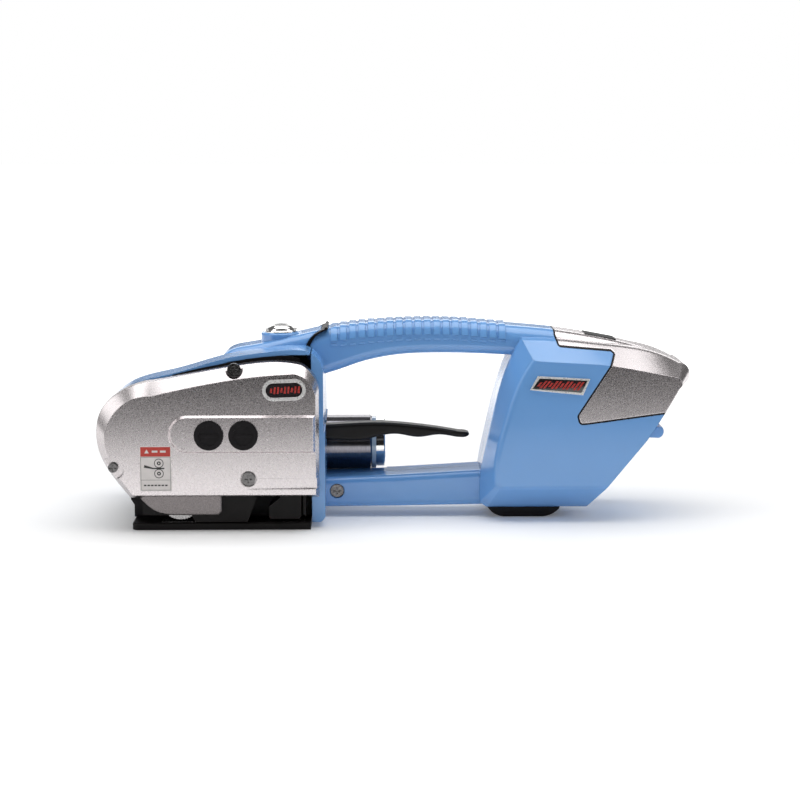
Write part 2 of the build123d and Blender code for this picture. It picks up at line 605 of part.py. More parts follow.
wheel_phase = (toward(WHEEL, IDLER) - idler_offset * IDLER_TEETH / WHEEL_TEETH
               + 180.0 / WHEEL_TEETH)

with BuildPart() as drive_gear:
    spur(PIVOT, DRIVE_TEETH, toward(PIVOT, IDLER), SHAFT_R + FIT)
finish_part(drive_gear, "drive_gear")

with BuildPart() as idler_gear:
    spur(IDLER, IDLER_TEETH, idler_phase, 3.0 + FIT)
finish_part(idler_gear, "idler_gear")

with BuildPart() as wheel_gear:
    spur(WHEEL, WHEEL_TEETH, wheel_phase, 3.0)
finish_part(wheel_gear, "wheel_gear")

WHEEL_Y = (-40.5, -49.3)
KNURLS = 48
with BuildPart() as tension_wheel:
    disc(WHEEL, WHEEL_R, WHEEL_Y[0], WHEEL_Y[1])
    with BuildSketch(side(WHEEL_Y[0] + 1)):
        with Locations(WHEEL):
            with PolarLocations(WHEEL_R + 0.25, KNURLS):
                Circle(0.55)
    extrude(amount=WHEEL_Y[0] - WHEEL_Y[1] + 2, mode=Mode.SUBTRACT)
    disc(WHEEL, 3.0, GEAR_Y + 2.0, -52.0)
finish_part(tension_wheel, "tension_wheel")

ROCKER_NEAR_Y = (-50.0, -52.2)
ROCKER_BACK_Y = (-34.2, -36.1)
ROCKER_BACK = [(-158.0, 10.0), (-158.0, 32.0), (-146.0, 41.0), (-98.0, 54.0), (-84.0, 54.0),
               (-75.0, 48.0), (-75.0, 34.0), (-90.0, 20.0), (-100.0, 9.5), (-152.0, 9.5)]
ROCKER_NEAR = [(-158.0, 10.0), (-158.0, 32.0), (-146.0, 41.0), (-98.0, 54.0), (-84.0, 54.0),
               (-75.0, 48.0), (-75.0, 34.0), (-86.0, 25.0), (-90.8, 12.0), (-93.4, 5.2),
               (-125.6, 5.2), (-128.0, 9.5), (-152.0, 9.5)]
TAIL_Y = (-2.0, -12.0)
with BuildPart() as rocker_arm:
    prism(ROCKER_NEAR_Y[0], ROCKER_NEAR_Y[1], ROCKER_NEAR)
    prism(ROCKER_BACK_Y[0], ROCKER_BACK_Y[1], ROCKER_BACK)
    # bridge between the two plates, left of the wheel
    prism(ROCKER_BACK_Y[0], ROCKER_NEAR_Y[1], [(-158.0, 12.0), (-151.0, 12.0), (-151.0, 36.0),
                                               (-158.0, 32.0)])
    # hub through the frame wall and tail behind it
    disc(PIVOT, HUB_R, TAIL_Y[0], ROCKER_BACK_Y[0])
    prism(TAIL_Y[0], TAIL_Y[1], [(-88.0, 47.0), (-88.0, 34.0), (-75.0, 39.9), (-63.5, 39.9),
                                 (-62.8, 42.5), (-63.2, 45.5), (-65.0, 46.5), (-74.0, 46.8)])
    disc(PIVOT, 5.2, TAIL_Y[0] + 1, ROCKER_BACK_Y[1] - 1, mode=Mode.SUBTRACT)
    disc(PIVOT, SHAFT_R + FIT, ROCKER_NEAR_Y[0] + 1, ROCKER_NEAR_Y[1] - 1, mode=Mode.SUBTRACT)
    # bearings of the wheel shaft and the idler pin
    for near, far in (ROCKER_NEAR_Y, ROCKER_BACK_Y):
        disc(WHEEL, 3.0 + FIT, near + 1, far - 1, mode=Mode.SUBTRACT)
    disc(IDLER, 3.0, ROCKER_BACK_Y[1], GEAR_Y - GEAR_WIDTH - 0.4)
finish_part(rocker_arm, "rocker_arm")

# silver guard in front of the wheel
TONGUE_Y = (-52.3, -54.8)
with BuildPart() as wheel_guard:
    with BuildSketch(side(TONGUE_Y[0])):
        with BuildLine() as tongue_edge:
            Spline((-159.4, 21.0), (-155.0, 16.2), (-150.6, 12.9), (-144.5, 10.7), (-138.3, 9.8))
            Polyline((-138.3, 9.8), (-111.2, 9.8), (-109.1, 11.9), (-109.1, 30.0), (-153.0, 30.0),
                     (-159.4, 21.0))
        make_face(tongue_edge.edges())
    extrude(amount=TONGUE_Y[0] - TONGUE_Y[1])
    chamfer(wheel_guard.faces().sort_by(Axis.Y)[0].edges(), 0.8)
finish_part(wheel_guard, "wheel_guard")

# pressing spring of the rocker, between the frame floor and the tail
SPRING_AT = (-68.5, -7.0)
SPRING_BOTTOM = 9.5
SPRING_TOP = 39.4
SPRING_TURNS = 6.0
with BuildPart() as rocker_spring:
    with BuildLine() as coil:
        Helix(pitch=(SPRING_TOP - SPRING_BOTTOM - 1.3) / SPRING_TURNS,
              height=SPRING_TOP - SPRING_BOTTOM - 1.3, radius=4.2,
              center=(SPRING_AT[0], SPRING_AT[1], SPRING_BOTTOM + 0.6))
    with BuildSketch(Plane(coil.line @ 0, z_dir=coil.line % 0)):
        Circle(0.55)
    sweep()
finish_part(rocker_spring, "rocker_spring")

# ---------------------------------------------------------------- hand lever
LEVER_Y = (-1.0, -12.0)
LEVER_HUB_R = 6.5
with BuildPart() as lever_arm:
    with BuildSketch(side(LEVER_Y[0])):
        with BuildLine() as lever_edge:
            Spline((-58.0, 58.5), (-46.2, 58.9), (-30.1, 59.8), (-17.3, 60.3), (-4.5, 60.1),
                   (8.3, 59.0), (27.6, 56.5), (40.4, 54.3), (45.0, 53.6))
            ThreePointArc((45.0, 53.6), (46.0, 52.7), (45.4, 51.5))
            Spline((45.4, 51.5), (42.5, 50.6), (37.2, 50.8), (27.6, 52.2), (21.2, 51.6), (14.7, 50.7),
                   (8.0, 51.3), (1.9, 52.5), (-4.5, 52.6), (-10.9, 51.6), (-17.4, 49.8),
                   (-25.1, 48.6), (-36.6, 48.9), (-46.2, 49.4), (-58.0, 50.0))
            Line((-58.0, 50.0), (-58.0, 58.5))
        make_face(lever_edge.edges())
        with Locations(LEVER_PIVOT):
            Circle(LEVER_HUB_R)
        Polygon((-58.0, 50.0), (-58.0, 62.0), (-65.0, 57.0), (-68.6, 50.0), (-67.8, 47.8),
                (-65.6, 47.3), (-63.4, 48.4), align=None)
        with Locations(LEVER_PIVOT):
            Circle(2.5 + FIT, mode=Mode.SUBTRACT)
    extrude(amount=LEVER_Y[0] - LEVER_Y[1])
    fillet(lever_arm.edges().filter_by(lambda edge: edge.center().X > -20.0
                                       and abs(edge.center().Y + 6.5) > 5.0), 2.0)
finish_part(lever_arm, "lever_arm")

with BuildPart() as lever_pin:
    disc(LEVER_PIVOT, 2.5, 0.0, FRAME_WALL_Y[1])
    disc(LEVER_PIVOT, 3.8, -13.0, FRAME_WALL_Y[1])
finish_part(lever_pin, "lever_pin")


# ---------------------------------------------------------------- head top cover
FALL_DIR = (0.0, cos(radians(CREST_FALL)), -sin(radians(CREST_FALL)))
FALL_LENGTH = (HEAD_HALF - CREST_Y) / cos(radians(CREST_FALL))
COVER_BOTTOM = 46.0
COVER_RIGHT = -54.2
SEAM_REACH = 18.0           # half width of the stretch that has the S-shaped seam
HEAD_CAVITY = [(-160.0, 0.0), (-179.0, 51.7), (-180.4, 64.0), (-178.0, 73.5), (-167.5, 84.6),
               (-154.5, 90.0), (-139.0, 93.6), (-122.0, 98.2), (-103.4, 104.3), (-78.8, 107.3),
               (-66.0, 108.2), (-40.0, 108.2), (-40.0, 0.0)]
SEAM_HALF = SEAM_THICK / 2


def seam_region(shift, right_side):
    """Area left or right of the S-shaped seam between head cover and handle."""
    with BuildLine() as edge:
        Spline(*[(x + shift, z) for x, z in SEAM])
        end = (SEAM[-1][0] + shift, SEAM[-1][1])
        start = (SEAM[0][0] + shift, SEAM[0][1])
        far_x = 40.0 if right_side else -200.0
        Polyline(end, (end[0], 140.0), (far_x, 140.0), (far_x, 0.0), (start[0], 0.0), start)
    return edge.edges()


BOSS_X = (-86.6, -60.8)
BUTTON_X = sum(BOSS_X) / 2
BUTTON_R = 9.0
BOSS_TOP = 117.6
SPINE_TOP = [(-112.0, 100.0), (-105.4, 107.4), (-94.0, 110.0), (-86.5, 111.4), (-73.9, 114.4),
             (-62.0, 117.0), (-52.0, 119.3), (-40.0, 121.5)]

with BuildPart() as spine:
    with BuildSketch(side(HANDLE_HALF)):
        with BuildLine() as spine_edge:
            Spline(*SPINE_TOP)
            Polyline(SPINE_TOP[-1], (-40.0, 90.0), (-112.0, 90.0), SPINE_TOP[0])
        make_face(spine_edge.edges())
    extrude(amount=2 * HANDLE_HALF)
    fillet(spine.edges().filter_by(lambda edge: edge.bounding_box().size.X > 20.0
                                   and edge.center().Z > 100.0), 7.0)

with BuildPart() as head_top_cover:
    with BuildSketch(side(CREST_Y)) as crest:
        make_face(head_outline())
    extrude(crest.sketch, amount=CREST_Y + HEAD_HALF - GAP)
    extrude(crest.sketch, amount=FALL_LENGTH, dir=FALL_DIR)
    # spine that rises into the handle
    add(spine.part)
    # button boss
    with BuildSketch(Plane.XY.offset(100.0)):
        with Locations((BUTTON_X, 0.0)):
            Circle((BOSS_X[1] - BOSS_X[0]) / 2)
    extrude(amount=BOSS_TOP - 100.0)
    fillet(head_top_cover.faces().filter_by(Axis.Z).sort_by(Axis.Z)[-1].edges(), 1.5)
    # hollow, cut off at the bottom and at the seam
    with BuildSketch(side(CREST_Y)) as near_hollow:
        Polygon(*HEAD_CAVITY, align=None)
    extrude(near_hollow.sketch, amount=CREST_Y + HEAD_HALF + 1.0, mode=Mode.SUBTRACT)
    extrude(near_hollow.sketch, amount=FALL_LENGTH + 2.0, dir=FALL_DIR, mode=Mode.SUBTRACT)
    with BuildSketch(side(60.0)):
        Polygon((-200.0, -60.0), (-30.0, -60.0), (-30.0, COVER_BOTTOM), (-200.0, COVER_BOTTOM),
                align=None)
    extrude(amount=120.0, mode=Mode.SUBTRACT)
    with BuildSketch(side(SEAM_REACH)):
        make_face(seam_region(-SEAM_HALF, True))
    extrude(amount=2 * SEAM_REACH, mode=Mode.SUBTRACT)
    # beside the handle the cover runs on to the bulkhead
    for y_far, y_near in ((60.0, SEAM_REACH), (-SEAM_REACH, -60.0)):
        prism(y_far, y_near, [(COVER_RIGHT, 30.0), (20.0, 30.0), (20.0, 130.0), (COVER_RIGHT, 130.0)],
              mode=Mode.SUBTRACT)
    # button well
    with Locations((BUTTON_X, 0.0, 100.0)):
        Cylinder(BUTTON_R + 1.6, 40.0, mode=Mode.SUBTRACT)
finish_part(head_top_cover, "head_top_cover")

# ---------------------------------------------------------------- rubber seam strip
with BuildPart() as seam_trim:
    with BuildSketch(side(HANDLE_HALF + 0.6)):
        with BuildLine() as seam_edges:
            seam_left = [(x - SEAM_HALF + 0.15, z) for x, z in SEAM[:-1]]
            seam_right = [(x + SEAM_HALF - 0.15, z) for x, z in SEAM[:-1]]
            Spline(*seam_left)
            ThreePointArc(seam_left[-1], (SEAM[-2][0] + 0.9, SEAM[-2][1] + 0.9), seam_right[-1])
            Spline(*seam_right)
            Line(seam_right[0], seam_left[0])
        make_face(seam_edges.edges())
    extrude(amount=2 * HANDLE_HALF + 1.2)
finish_part(seam_trim, "seam_trim")


# ---------------------------------------------------------------- blue housing: handle, beam, rear
def rear_outline():
    """Rear housing between the two core planes."""
    with BuildLine() as outline:
        Spline((78.0, 115.5), (65.2, 85.8), (57.0, 50.5), (53.2, 31.3), (52.6, 10.0))
        Polyline((52.6, 10.0), (57.5, 6.3), (120.5, 6.3), (157.5, 53.0))
        Spline((157.5, 53.0), (168.5, 69.0), (181.5, 86.0))
        ThreePointArc((181.5, 86.0), (TAIL_X - 0.05, 93.0), (178.0, 99.8))
        Spline((178.0, 99.8), (163.2, 106.2), (128.5, 112.0), (97.0, 115.0), (78.0, 115.5))
    return outline.edges()


def rear_face_outline():
    """Flat side face of the rear housing, inside its broad bevels."""
    with BuildLine() as outline:
        Spline((84.5, 103.5), (72.9, 82.1), (66.8, 63.2), (62.6, 47.4), (61.6, 24.5))
        Polyline((61.6, 24.5), (64.0, 22.5), (131.5, 22.9), (156.0, 53.0))
        Spline((156.0, 53.0), (165.8, 68.5), (175.5, 85.5))
        ThreePointArc((175.5, 85.5), (177.3, 89.5), (174.5, 92.6))
        Spline((174.5, 92.6), (155.0, 96.3), (133.2, 100.1), (108.0, 101.9), (84.5, 103.5))
    return outline.edges()


GRIP_FIRST_X = -40.0
GRIP_PITCH = 5.9
GRIP_RIBS = 19
RIB_WIDTH = 4.3
RIB_RISE = 0.7
RIB_DROP = 9.0
BEAM_TOP = [(-50.0, 25.2), (1.7, 27.2), (60.0, 30.4)]
BEAM_UNDER = [(-50.0, 6.3), (1.7, 6.7), (60.0, 7.6)]
BULKHEAD_X = (-53.6, -45.4)

with BuildPart() as handle_form:
    with BuildSketch(side(HANDLE_HALF)):
        with BuildLine() as handle_edge:
            Spline(*HANDLE_TOP)
            Line(HANDLE_TOP[-1], (150.0, 80.0))
            Line((150.0, 80.0), HANDLE_UNDER[-1])
            Spline(*reversed(HANDLE_UNDER))
            Line(HANDLE_UNDER[0], HANDLE_TOP[0])
        make_face(handle_edge.edges())
    extrude(amount=2 * HANDLE_HALF)
    fillet(handle_form.edges().filter_by(lambda edge: edge.bounding_box().size.X > 100.0
                                         and edge.center().Z > 112.0), 9.0)
    fillet(handle_form.edges().filter_by(lambda edge: edge.bounding_box().size.X > 100.0
                                         and edge.center().Z < 106.0
                                         and abs(edge.center().Y) > 10.0), 6.0)
    # moulded grip ribs over the crest
    for index in range(GRIP_RIBS):
        rib_x = GRIP_FIRST_X + index * GRIP_PITCH
        crest = spline_height(HANDLE_TOP, rib_x) + RIB_RISE
        with BuildSketch(section(rib_x - RIB_WIDTH / 2)):
            with Locations((0.0, crest - 12.0)):
                RectangleRounded(2 * (HANDLE_HALF + RIB_RISE), 24.0, 9.4)
            with Locations((0.0, crest - RIB_DROP - 15.0)):
                Rectangle(50.0, 30.0, mode=Mode.SUBTRACT)
        extrude(amount=RIB_WIDTH)

with BuildPart() as beam_form:
    with BuildSketch(side(HANDLE_HALF)):
        Polygon(*BEAM_TOP, *reversed(BEAM_UNDER), align=None)
    extrude(amount=2 * HANDLE_HALF)
    fillet(beam_form.edges().filter_by(lambda edge: edge.bounding_box().size.X > 40.0), 4.0)

with BuildPart() as bulkhead_form:
    with BuildSketch(side(CREST_Y)) as rim:
        make_face(head_outline())
        with Locations((BULKHEAD_X[0] - 100.0, 60.0)):
            Rectangle(200.0, 160.0, mode=Mode.SUBTRACT)
    extrude(rim.sketch, amount=CREST_Y + HEAD_HALF)
    extrude(rim.sketch, amount=FALL_LENGTH, dir=FALL_DIR)
    prism(HEAD_HALF, -HEAD_HALF, [(BULKHEAD_X[0], 3.1), (-48.0, 3.1), (BULKHEAD_X[1], 6.0),
                                  (BULKHEAD_X[1], 60.0), (BULKHEAD_X[0], 60.0)])

with BuildPart() as rear_form:
    with BuildSketch(side(REAR_CORE_HALF)):
        make_face(rear_outline())
    extrude(amount=2 * REAR_CORE_HALF)
    for direction in (-1, 1):
        with BuildSketch(side(direction * REAR_CORE_HALF)) as core_edge:
            make_face(rear_outline())
        with BuildSketch(side(direction * REAR_HALF)) as face_edge:
            make_face(rear_face_outline())
        loft([core_edge.sketch, face_edge.sketch], ruled=True)
    # round the creases between core, bevels and flat sides
    for plane_y, height, radius in ((REAR_CORE_HALF, 64.1, 9.0), (REAR_CORE_HALF, 112.0, 9.0),
                                    (REAR_CORE_HALF, 6.3, 9.0), (REAR_HALF, 65.5, 4.0),
                                    (REAR_HALF, 22.7, 4.0)):
        fillet(rear_form.edges().filter_by(
            lambda edge: abs(abs(edge.center().Y) - plane_y) < 0.2 and edge.length > 40.0
            and edge.bounding_box().size.Y < 0.5 and abs(edge.center().Z - height) < 1.5), radius)

HANDLE_CAVITY = [(-50.0, 97.0), (-45.0, 96.5), (-23.0, 103.0), (2.0, 108.0), (40.0, 109.0),
                 (66.0, 108.0), (90.0, 107.0), (90.0, 114.5), (66.0, 118.0), (20.0, 120.5),
                 (-17.0, 119.0), (-45.0, 115.0), (-50.0, 113.0)]
REAR_CAVITY = [(88.0, 99.0), (77.5, 80.0), (71.5, 61.0), (67.5, 46.0), (66.5, 27.5), (129.0, 27.5),
               (152.5, 55.5), (162.5, 70.5), (171.0, 84.5), (171.5, 88.5), (154.0, 92.0),
               (132.5, 95.5), (108.0, 97.5)]
CORE_CAVITY = [(84.0, 109.5), (71.0, 85.0), (62.5, 50.0), (58.5, 30.0), (58.0, 12.5), (61.0, 10.8),
               (118.0, 10.8), (151.5, 53.0), (163.0, 70.0), (174.5, 85.5), (176.5, 91.0),
               (172.5, 95.5), (159.5, 101.0), (126.0, 106.5), (97.0, 109.3)]
BEAM_CAVITY = [(-43.0, 10.5), (-43.0, 21.2), (1.7, 23.2), (60.0, 26.2), (60.0, 11.5)]
BATTERY_HALF = 27.0
BATTERY_Z = (15.0, 52.5)
BATTERY_LEFT = 76.0
REAR_SEAM = [(99.5, 140.0), (99.5, 125.0), (100.0, 117.0), (101.6, 111.4), (134.2, 108.6),
             (136.6, 106.6), (133.4, 100.4), (113.0, 68.6), (114.2, 64.0), (118.0, 64.2),
             (200.0, 75.2), (200.0, 140.0)]
SEAM_GAP = 1.1
GASKET_FIT = 0.02
HOUSING_SCREWS = [(-38.5, 17.0)]


def rear_cover_region():
    """Side view area of the silver rear cover."""
    with BuildLine() as outline:
        FilletPolyline(*REAR_SEAM, radius=1.6, close=True)
    return outline.edges()


def slope_x(z):
    """X of the sloping rear face of the housing at a height."""
    return 120.5 + (z - 6.3) * (157.5 - 120.5) / (53.0 - 6.3)


with BuildPart() as hollow_form:
    add(rear_form.part)
    add(handle_form.part)
    add(beam_form.part)
    add(bulkhead_form.part)
    # everything left of the S seam belongs to the head cover
    with BuildSketch(side(60.0)) as seam_cut:
        make_face(seam_region(SEAM_HALF, False))
    extrude(seam_cut.sketch, amount=120.0, mode=Mode.SUBTRACT)
    prism(13.0, -13.0, HANDLE_CAVITY, mode=Mode.SUBTRACT)
    prism(34.5, -34.5, REAR_CAVITY, mode=Mode.SUBTRACT)
    prism(16.5, -16.5, CORE_CAVITY, mode=Mode.SUBTRACT)
    prism(13.0, -13.0, BEAM_CAVITY, mode=Mode.SUBTRACT)
    # motor opening and lever slot through the bulkhead
    rod(MOTOR_Y, MOTOR_Z, MOTOR_R + GAP, BULKHEAD_X[0] - 10.0, MOTOR_RIGHT + 9.5, mode=Mode.SUBTRACT)
    prism(LEVER_Y[0] + 0.8, LEVER_Y[1] - 0.8, [(-62.0, 45.5), (-44.0, 45.5), (-44.0, 66.5),
                                               (-62.0, 66.5)], mode=Mode.SUBTRACT)
    # pocket in the bulkhead that the top of the weld arm swings into
    prism(WELD_Y[0] + 1.5, WELD_Y[1] - 1.5, [(-60.0, 54.0), (-51.4, 54.0), (-51.4, 82.0), (-60.0, 82.0)],
          mode=Mode.SUBTRACT)
    # battery bay opening in the sloping rear face
    prism(BATTERY_HALF + GAP, -BATTERY_HALF - GAP,
          [(BATTERY_LEFT - GAP, BATTERY_Z[0] - GAP), (190.0, BATTERY_Z[0] - GAP),
           (190.0, BATTERY_Z[1] + GAP), (BATTERY_LEFT - GAP, BATTERY_Z[1] + GAP)],
          mode=Mode.SUBTRACT)
    # slot for the latch stem
    prism(6.5, -6.5, [(140.0, 56.2), (190.0, 56.2), (190.0, 62.8), (140.0, 62.8)],
          mode=Mode.SUBTRACT)
    # housing screw, sunk in the beam
    for centre in HOUSING_SCREWS:
        disc(centre, 4.7, -HANDLE_HALF + 3.2, -HANDLE_HALF - 1.0, mode=Mode.SUBTRACT)
        disc(centre, SCREW_HOLE_R, 9.0, -HANDLE_HALF - 1.0, mode=Mode.SUBTRACT)

with BuildPart() as housing_form:
    add(hollow_form.part)
    with BuildSketch(side(60.0)) as cover_cut:
        make_face(rear_cover_region())
        offset(amount=SEAM_GAP)
    extrude(cover_cut.sketch, amount=120.0, mode=Mode.SUBTRACT)

with BuildPart() as housing_near:
    add(housing_form.part)
    split(bisect_by=Plane.XZ, keep=Keep.TOP)
finish_part(housing_near, "housing_near")

with BuildPart() as housing_far:
    add(housing_form.part)
    split(bisect_by=Plane.XZ, keep=Keep.BOTTOM)
finish_part(housing_far, "housing_far")

LENS_OUTLINE = [(119.2, 115.2), (119.2, 117.0), (139.2, 113.2), (139.2, 111.4)]
LENS_HALF = 9.0
with BuildPart() as rear_cover:
    add(hollow_form.part)
    with BuildSketch(side(60.0)) as cover_keep:
        make_face(rear_cover_region())
    extrude(cover_keep.sketch, amount=120.0, mode=Mode.INTERSECT)
    prism(LENS_HALF, -LENS_HALF, LENS_OUTLINE, mode=Mode.SUBTRACT)
finish_part(rear_cover, "rear_cover")

# black gasket all along the seam of the rear cover
with BuildPart() as rear_gasket:
    add(hollow_form.part)
    with BuildSketch(side(60.0)) as gasket_band:
        make_face(rear_cover_region())
        offset(amount=SEAM_GAP - GASKET_FIT)
        with BuildSketch(side(60.0), mode=Mode.PRIVATE) as gasket_inner:
            make_face(rear_cover_region())
            offset(amount=GASKET_FIT)
        add(gasket_inner.sketch, mode=Mode.SUBTRACT)
    extrude(gasket_band.sketch, amount=120.0, mode=Mode.INTERSECT)
finish_part(rear_gasket, "rear_gasket")

with BuildPart() as display_lens:
    prism(LENS_HALF, -LENS_HALF, LENS_OUTLINE)
finish_part(display_lens, "display_lens")

# countersunk cross-head screw that ties the two halves at the beam
with BuildPart() as housing_screws:
    for centre in HOUSING_SCREWS:
        disc(centre, SCREW_HEAD_R, -HANDLE_HALF + 3.2, -HANDLE_HALF + 1.0)
        disc(centre, SCREW_SHANK_R, 8.5, -HANDLE_HALF + 3.2)
        with BuildSketch(side(-HANDLE_HALF + 2.0)):
            with Locations(centre):
                Rectangle(4.6, 0.9)
                Rectangle(0.9, 4.6)
        extrude(amount=2.0, mode=Mode.SUBTRACT)
finish_part(housing_screws, "housing_screws")

# ---------------------------------------------------------------- far side cover
FAR_FACE_Y = 62.0
FAR_BEVEL_Y = 56.0
far_drop = (HEAD_HALF - CREST_Y) * sin(radians(CREST_FALL)) / cos(radians(CREST_FALL))


def dropped_side(y):
    """Side plane lowered by the fall of the head's top surface."""
    return Plane(origin=(0, y, -far_drop), x_dir=(1, 0, 0), z_dir=(0, -1, 0))


with BuildPart() as far_bevel:
    with BuildSketch(dropped_side(FAR_BEVEL_Y)):
        make_face(head_outline())
    with BuildSketch(dropped_side(FAR_FACE_Y)):
        make_face(head_outline(0.92))
    loft(ruled=True)

with BuildPart() as far_cover:
    with BuildSketch(dropped_side(FAR_BEVEL_Y)):
        make_face(head_outline())
    extrude(amount=FAR_BEVEL_Y - HEAD_HALF)
    add(far_bevel.part)
    with BuildSketch(dropped_side(FAR_BEVEL_Y + 2.0)):
        Polygon(*HEAD_CAVITY[1:-2], (-49.5, 102.0), (-49.5, 30.0), (-165.0, 30.0), align=None)
    extrude(amount=20.0, mode=Mode.SUBTRACT)
    with BuildSketch(side(70.0)):
        Polygon((-200.0, -60.0), (-30.0, -60.0), (-30.0, 22.0), (-200.0, 22.0), align=None)
    extrude(amount=40.0, mode=Mode.SUBTRACT)
    # raised panel with cooling slots
    with BuildSketch(side(FAR_Y)):
        with Locations((-108.0, 50.0)):
            RectangleRounded(92.0, 40.0, 6.0)
    extrude(amount=FAR_Y - FAR_FACE_Y, taper=-20)
    with BuildSketch(side(FAR_Y + 1)):
        for index in range(8):
            with Locations(Location((-136.0 + 8.0 * index, 50.0), -20.0)):
                SlotOverall(28.0, 3.2, rotation=90)
    extrude(amount=10.0, mode=Mode.SUBTRACT)
    for centre in ((-60.0, 33.0), (-158.0, 35.0), (-60.0, 76.0)):
        disc(centre, 4.6, FAR_Y + 1, FAR_FACE_Y - 2.0, mode=Mode.SUBTRACT)
        disc(centre, SCREW_HOLE_R, FAR_Y + 1, HEAD_HALF, mode=Mode.SUBTRACT)
finish_part(far_cover, "far_cover")

with BuildPart() as far_screws:
    for centre in ((-60.0, 33.0), (-158.0, 35.0), (-60.0, 76.0)):
        disc(centre, SCREW_HEAD_R, FAR_FACE_Y, FAR_FACE_Y - 2.0)
        disc(centre, SCREW_SHANK_R, FAR_FACE_Y - 2.0, HEAD_HALF)
        with BuildSketch(side(FAR_FACE_Y + 1)):
            with Locations(centre):
                Rectangle(4.6, 0.9)
                Rectangle(0.9, 4.6)
        extrude(amount=2.0, mode=Mode.SUBTRACT)
finish_part(far_screws, "far_cover_screws")

# ---------------------------------------------------------------- rubber foot
with BuildPart() as rubber_foot:
    with BuildSketch(side(HANDLE_HALF)):
        with BuildLine() as foot_edge:
            Line((57.5, 6.3), (60.5, 3.0))
            ThreePointArc((60.5, 3.0), (64.5, 0.8), (69.0, 0.0))
            Line((69.0, 0.0), (93.0, 0.0))
            ThreePointArc((93.0, 0.0), (98.5, 1.4), (103.5, 5.0))
            Polyline((103.5, 5.0), (104.0, 6.3), (57.5, 6.3))
        make_face(foot_edge.edges())
    extrude(amount=2 * HANDLE_HALF)
finish_part(rubber_foot, "rubber_foot")

# ---------------------------------------------------------------- tension button on its boss
BUTTON_FOOT = 112.6
BUTTON_TOP = 122.2
with BuildPart() as button_ring:
    with BuildSketch(Plane.XY.offset(BOSS_TOP)):
        with Locations((BUTTON_X, 0.0)):
            Circle(11.2)
            Circle(BUTTON_R + FIT, mode=Mode.SUBTRACT)
    extrude(amount=1.5)
    chamfer(button_ring.faces().sort_by(Axis.Z)[-1].edges().sort_by(SortBy.LENGTH)[-1], 0.8)
finish_part(button_ring, "button_ring")

with BuildPart() as tension_button:
    with BuildSketch(Plane.XY.offset(BUTTON_FOOT)):
        with Locations((BUTTON_X, 0.0)):
            Circle(BUTTON_R)
    extrude(amount=BUTTON_TOP - BUTTON_FOOT)
    fillet(tension_button.faces().sort_by(Axis.Z)[-1].edges(), 4.2)
finish_part(tension_button, "tension_button")

with BuildPart() as button_switch:
    with Locations((BUTTON_X, 0.0, 108.3)):
        Cylinder(BUTTON_R + 1.5, 0.6, align=(Align.CENTER, Align.CENTER, Align.MIN))
finish_part(button_switch, "button_switch")

# ---------------------------------------------------------------- rear badge
with BuildPart() as rear_badge:
    with BuildSketch(side(-REAR_HALF)):
        Polygon((82.2, 85.3), (86.9, 94.0), (119.5, 92.1), (115.3, 82.0), align=None)
    extrude(amount=1.2)
finish_part(rear_badge, "rear_badge")

# ---------------------------------------------------------------- battery in its bay
BATTERY_WALL = 1.2
CELL_R = 8.6
battery_profile = [(BATTERY_LEFT, BATTERY_Z[0]), (slope_x(BATTERY_Z[0]) - 0.5, BATTERY_Z[0]),
                   (slope_x(BATTERY_Z[1]) - 0.5, BATTERY_Z[1]), (BATTERY_LEFT, BATTERY_Z[1])]
battery_hollow = [(BATTERY_LEFT + BATTERY_WALL, BATTERY_Z[0] + BATTERY_WALL),
                  (slope_x(BATTERY_Z[0]) - 4.0, BATTERY_Z[0] + BATTERY_WALL),
                  (slope_x(BATTERY_Z[1]) - 6.0, BATTERY_Z[1] - BATTERY_WALL),
                  (BATTERY_LEFT + BATTERY_WALL, BATTERY_Z[1] - BATTERY_WALL)]
with BuildPart() as battery_case:
    prism(BATTERY_HALF, -BATTERY_HALF, battery_profile)
    prism(BATTERY_HALF - BATTERY_WALL, -BATTERY_HALF + BATTERY_WALL, battery_hollow,
          mode=Mode.SUBTRACT)
    with BuildSketch(section(BATTERY_LEFT - 1.0)):
        for contact_y in (-12.0, -4.0, 4.0, 12.0):
            with Locations((contact_y, 33.0)):
                Rectangle(2.4, 14.0)
    extrude(amount=6.0, mode=Mode.SUBTRACT)
finish_part(battery_case, "battery_case")

with BuildPart() as battery_cells:
    for cell_z in (BATTERY_Z[0] + 10.1, BATTERY_Z[1] - 10.1):
        for cell_x in (90.0, 108.0):
            disc((cell_x, cell_z), CELL_R, BATTERY_HALF - 2.0, 1.0)
            disc((cell_x, cell_z), CELL_R, -1.0, -BATTERY_HALF + 2.0)
finish_part(battery_cells, "battery_cells")

with BuildPart() as bay_contacts:
    with BuildSketch(section(66.8)):
        with Locations((0.0, 33.0)):
            Rectangle(32.0, 18.0)
    extrude(amount=4.0)
    for contact_y in (-12.0, -4.0, 4.0, 12.0):
        with BuildSketch(section(70.8)):
            with Locations((contact_y, 33.0)):
                Rectangle(1.0, 10.0)
        extrude(amount=8.0)
finish_part(bay_contacts, "bay_contacts")

# release latch above the battery, sliding along the rear slope
with BuildPart() as battery_latch:
    with BuildSketch(side(30.0)):
        with BuildLine() as latch_edge:
            Line((slope_x(52.0) + 1.6, 53.4), (164.5, 53.1))
            ThreePointArc((164.5, 53.1), (167.6, 56.6), (166.4, 60.2))
            Polyline((166.4, 60.2), (163.2, 60.0), (slope_x(52.0) + 1.6, 53.4))
        make_face(latch_edge.edges())
    extrude(amount=60.0)
    prism(5.0, -5.0, [(150.0, 57.0), (164.0, 57.0), (164.0, 59.6), (150.0, 59.6)])
finish_part(battery_latch, "battery_latch")

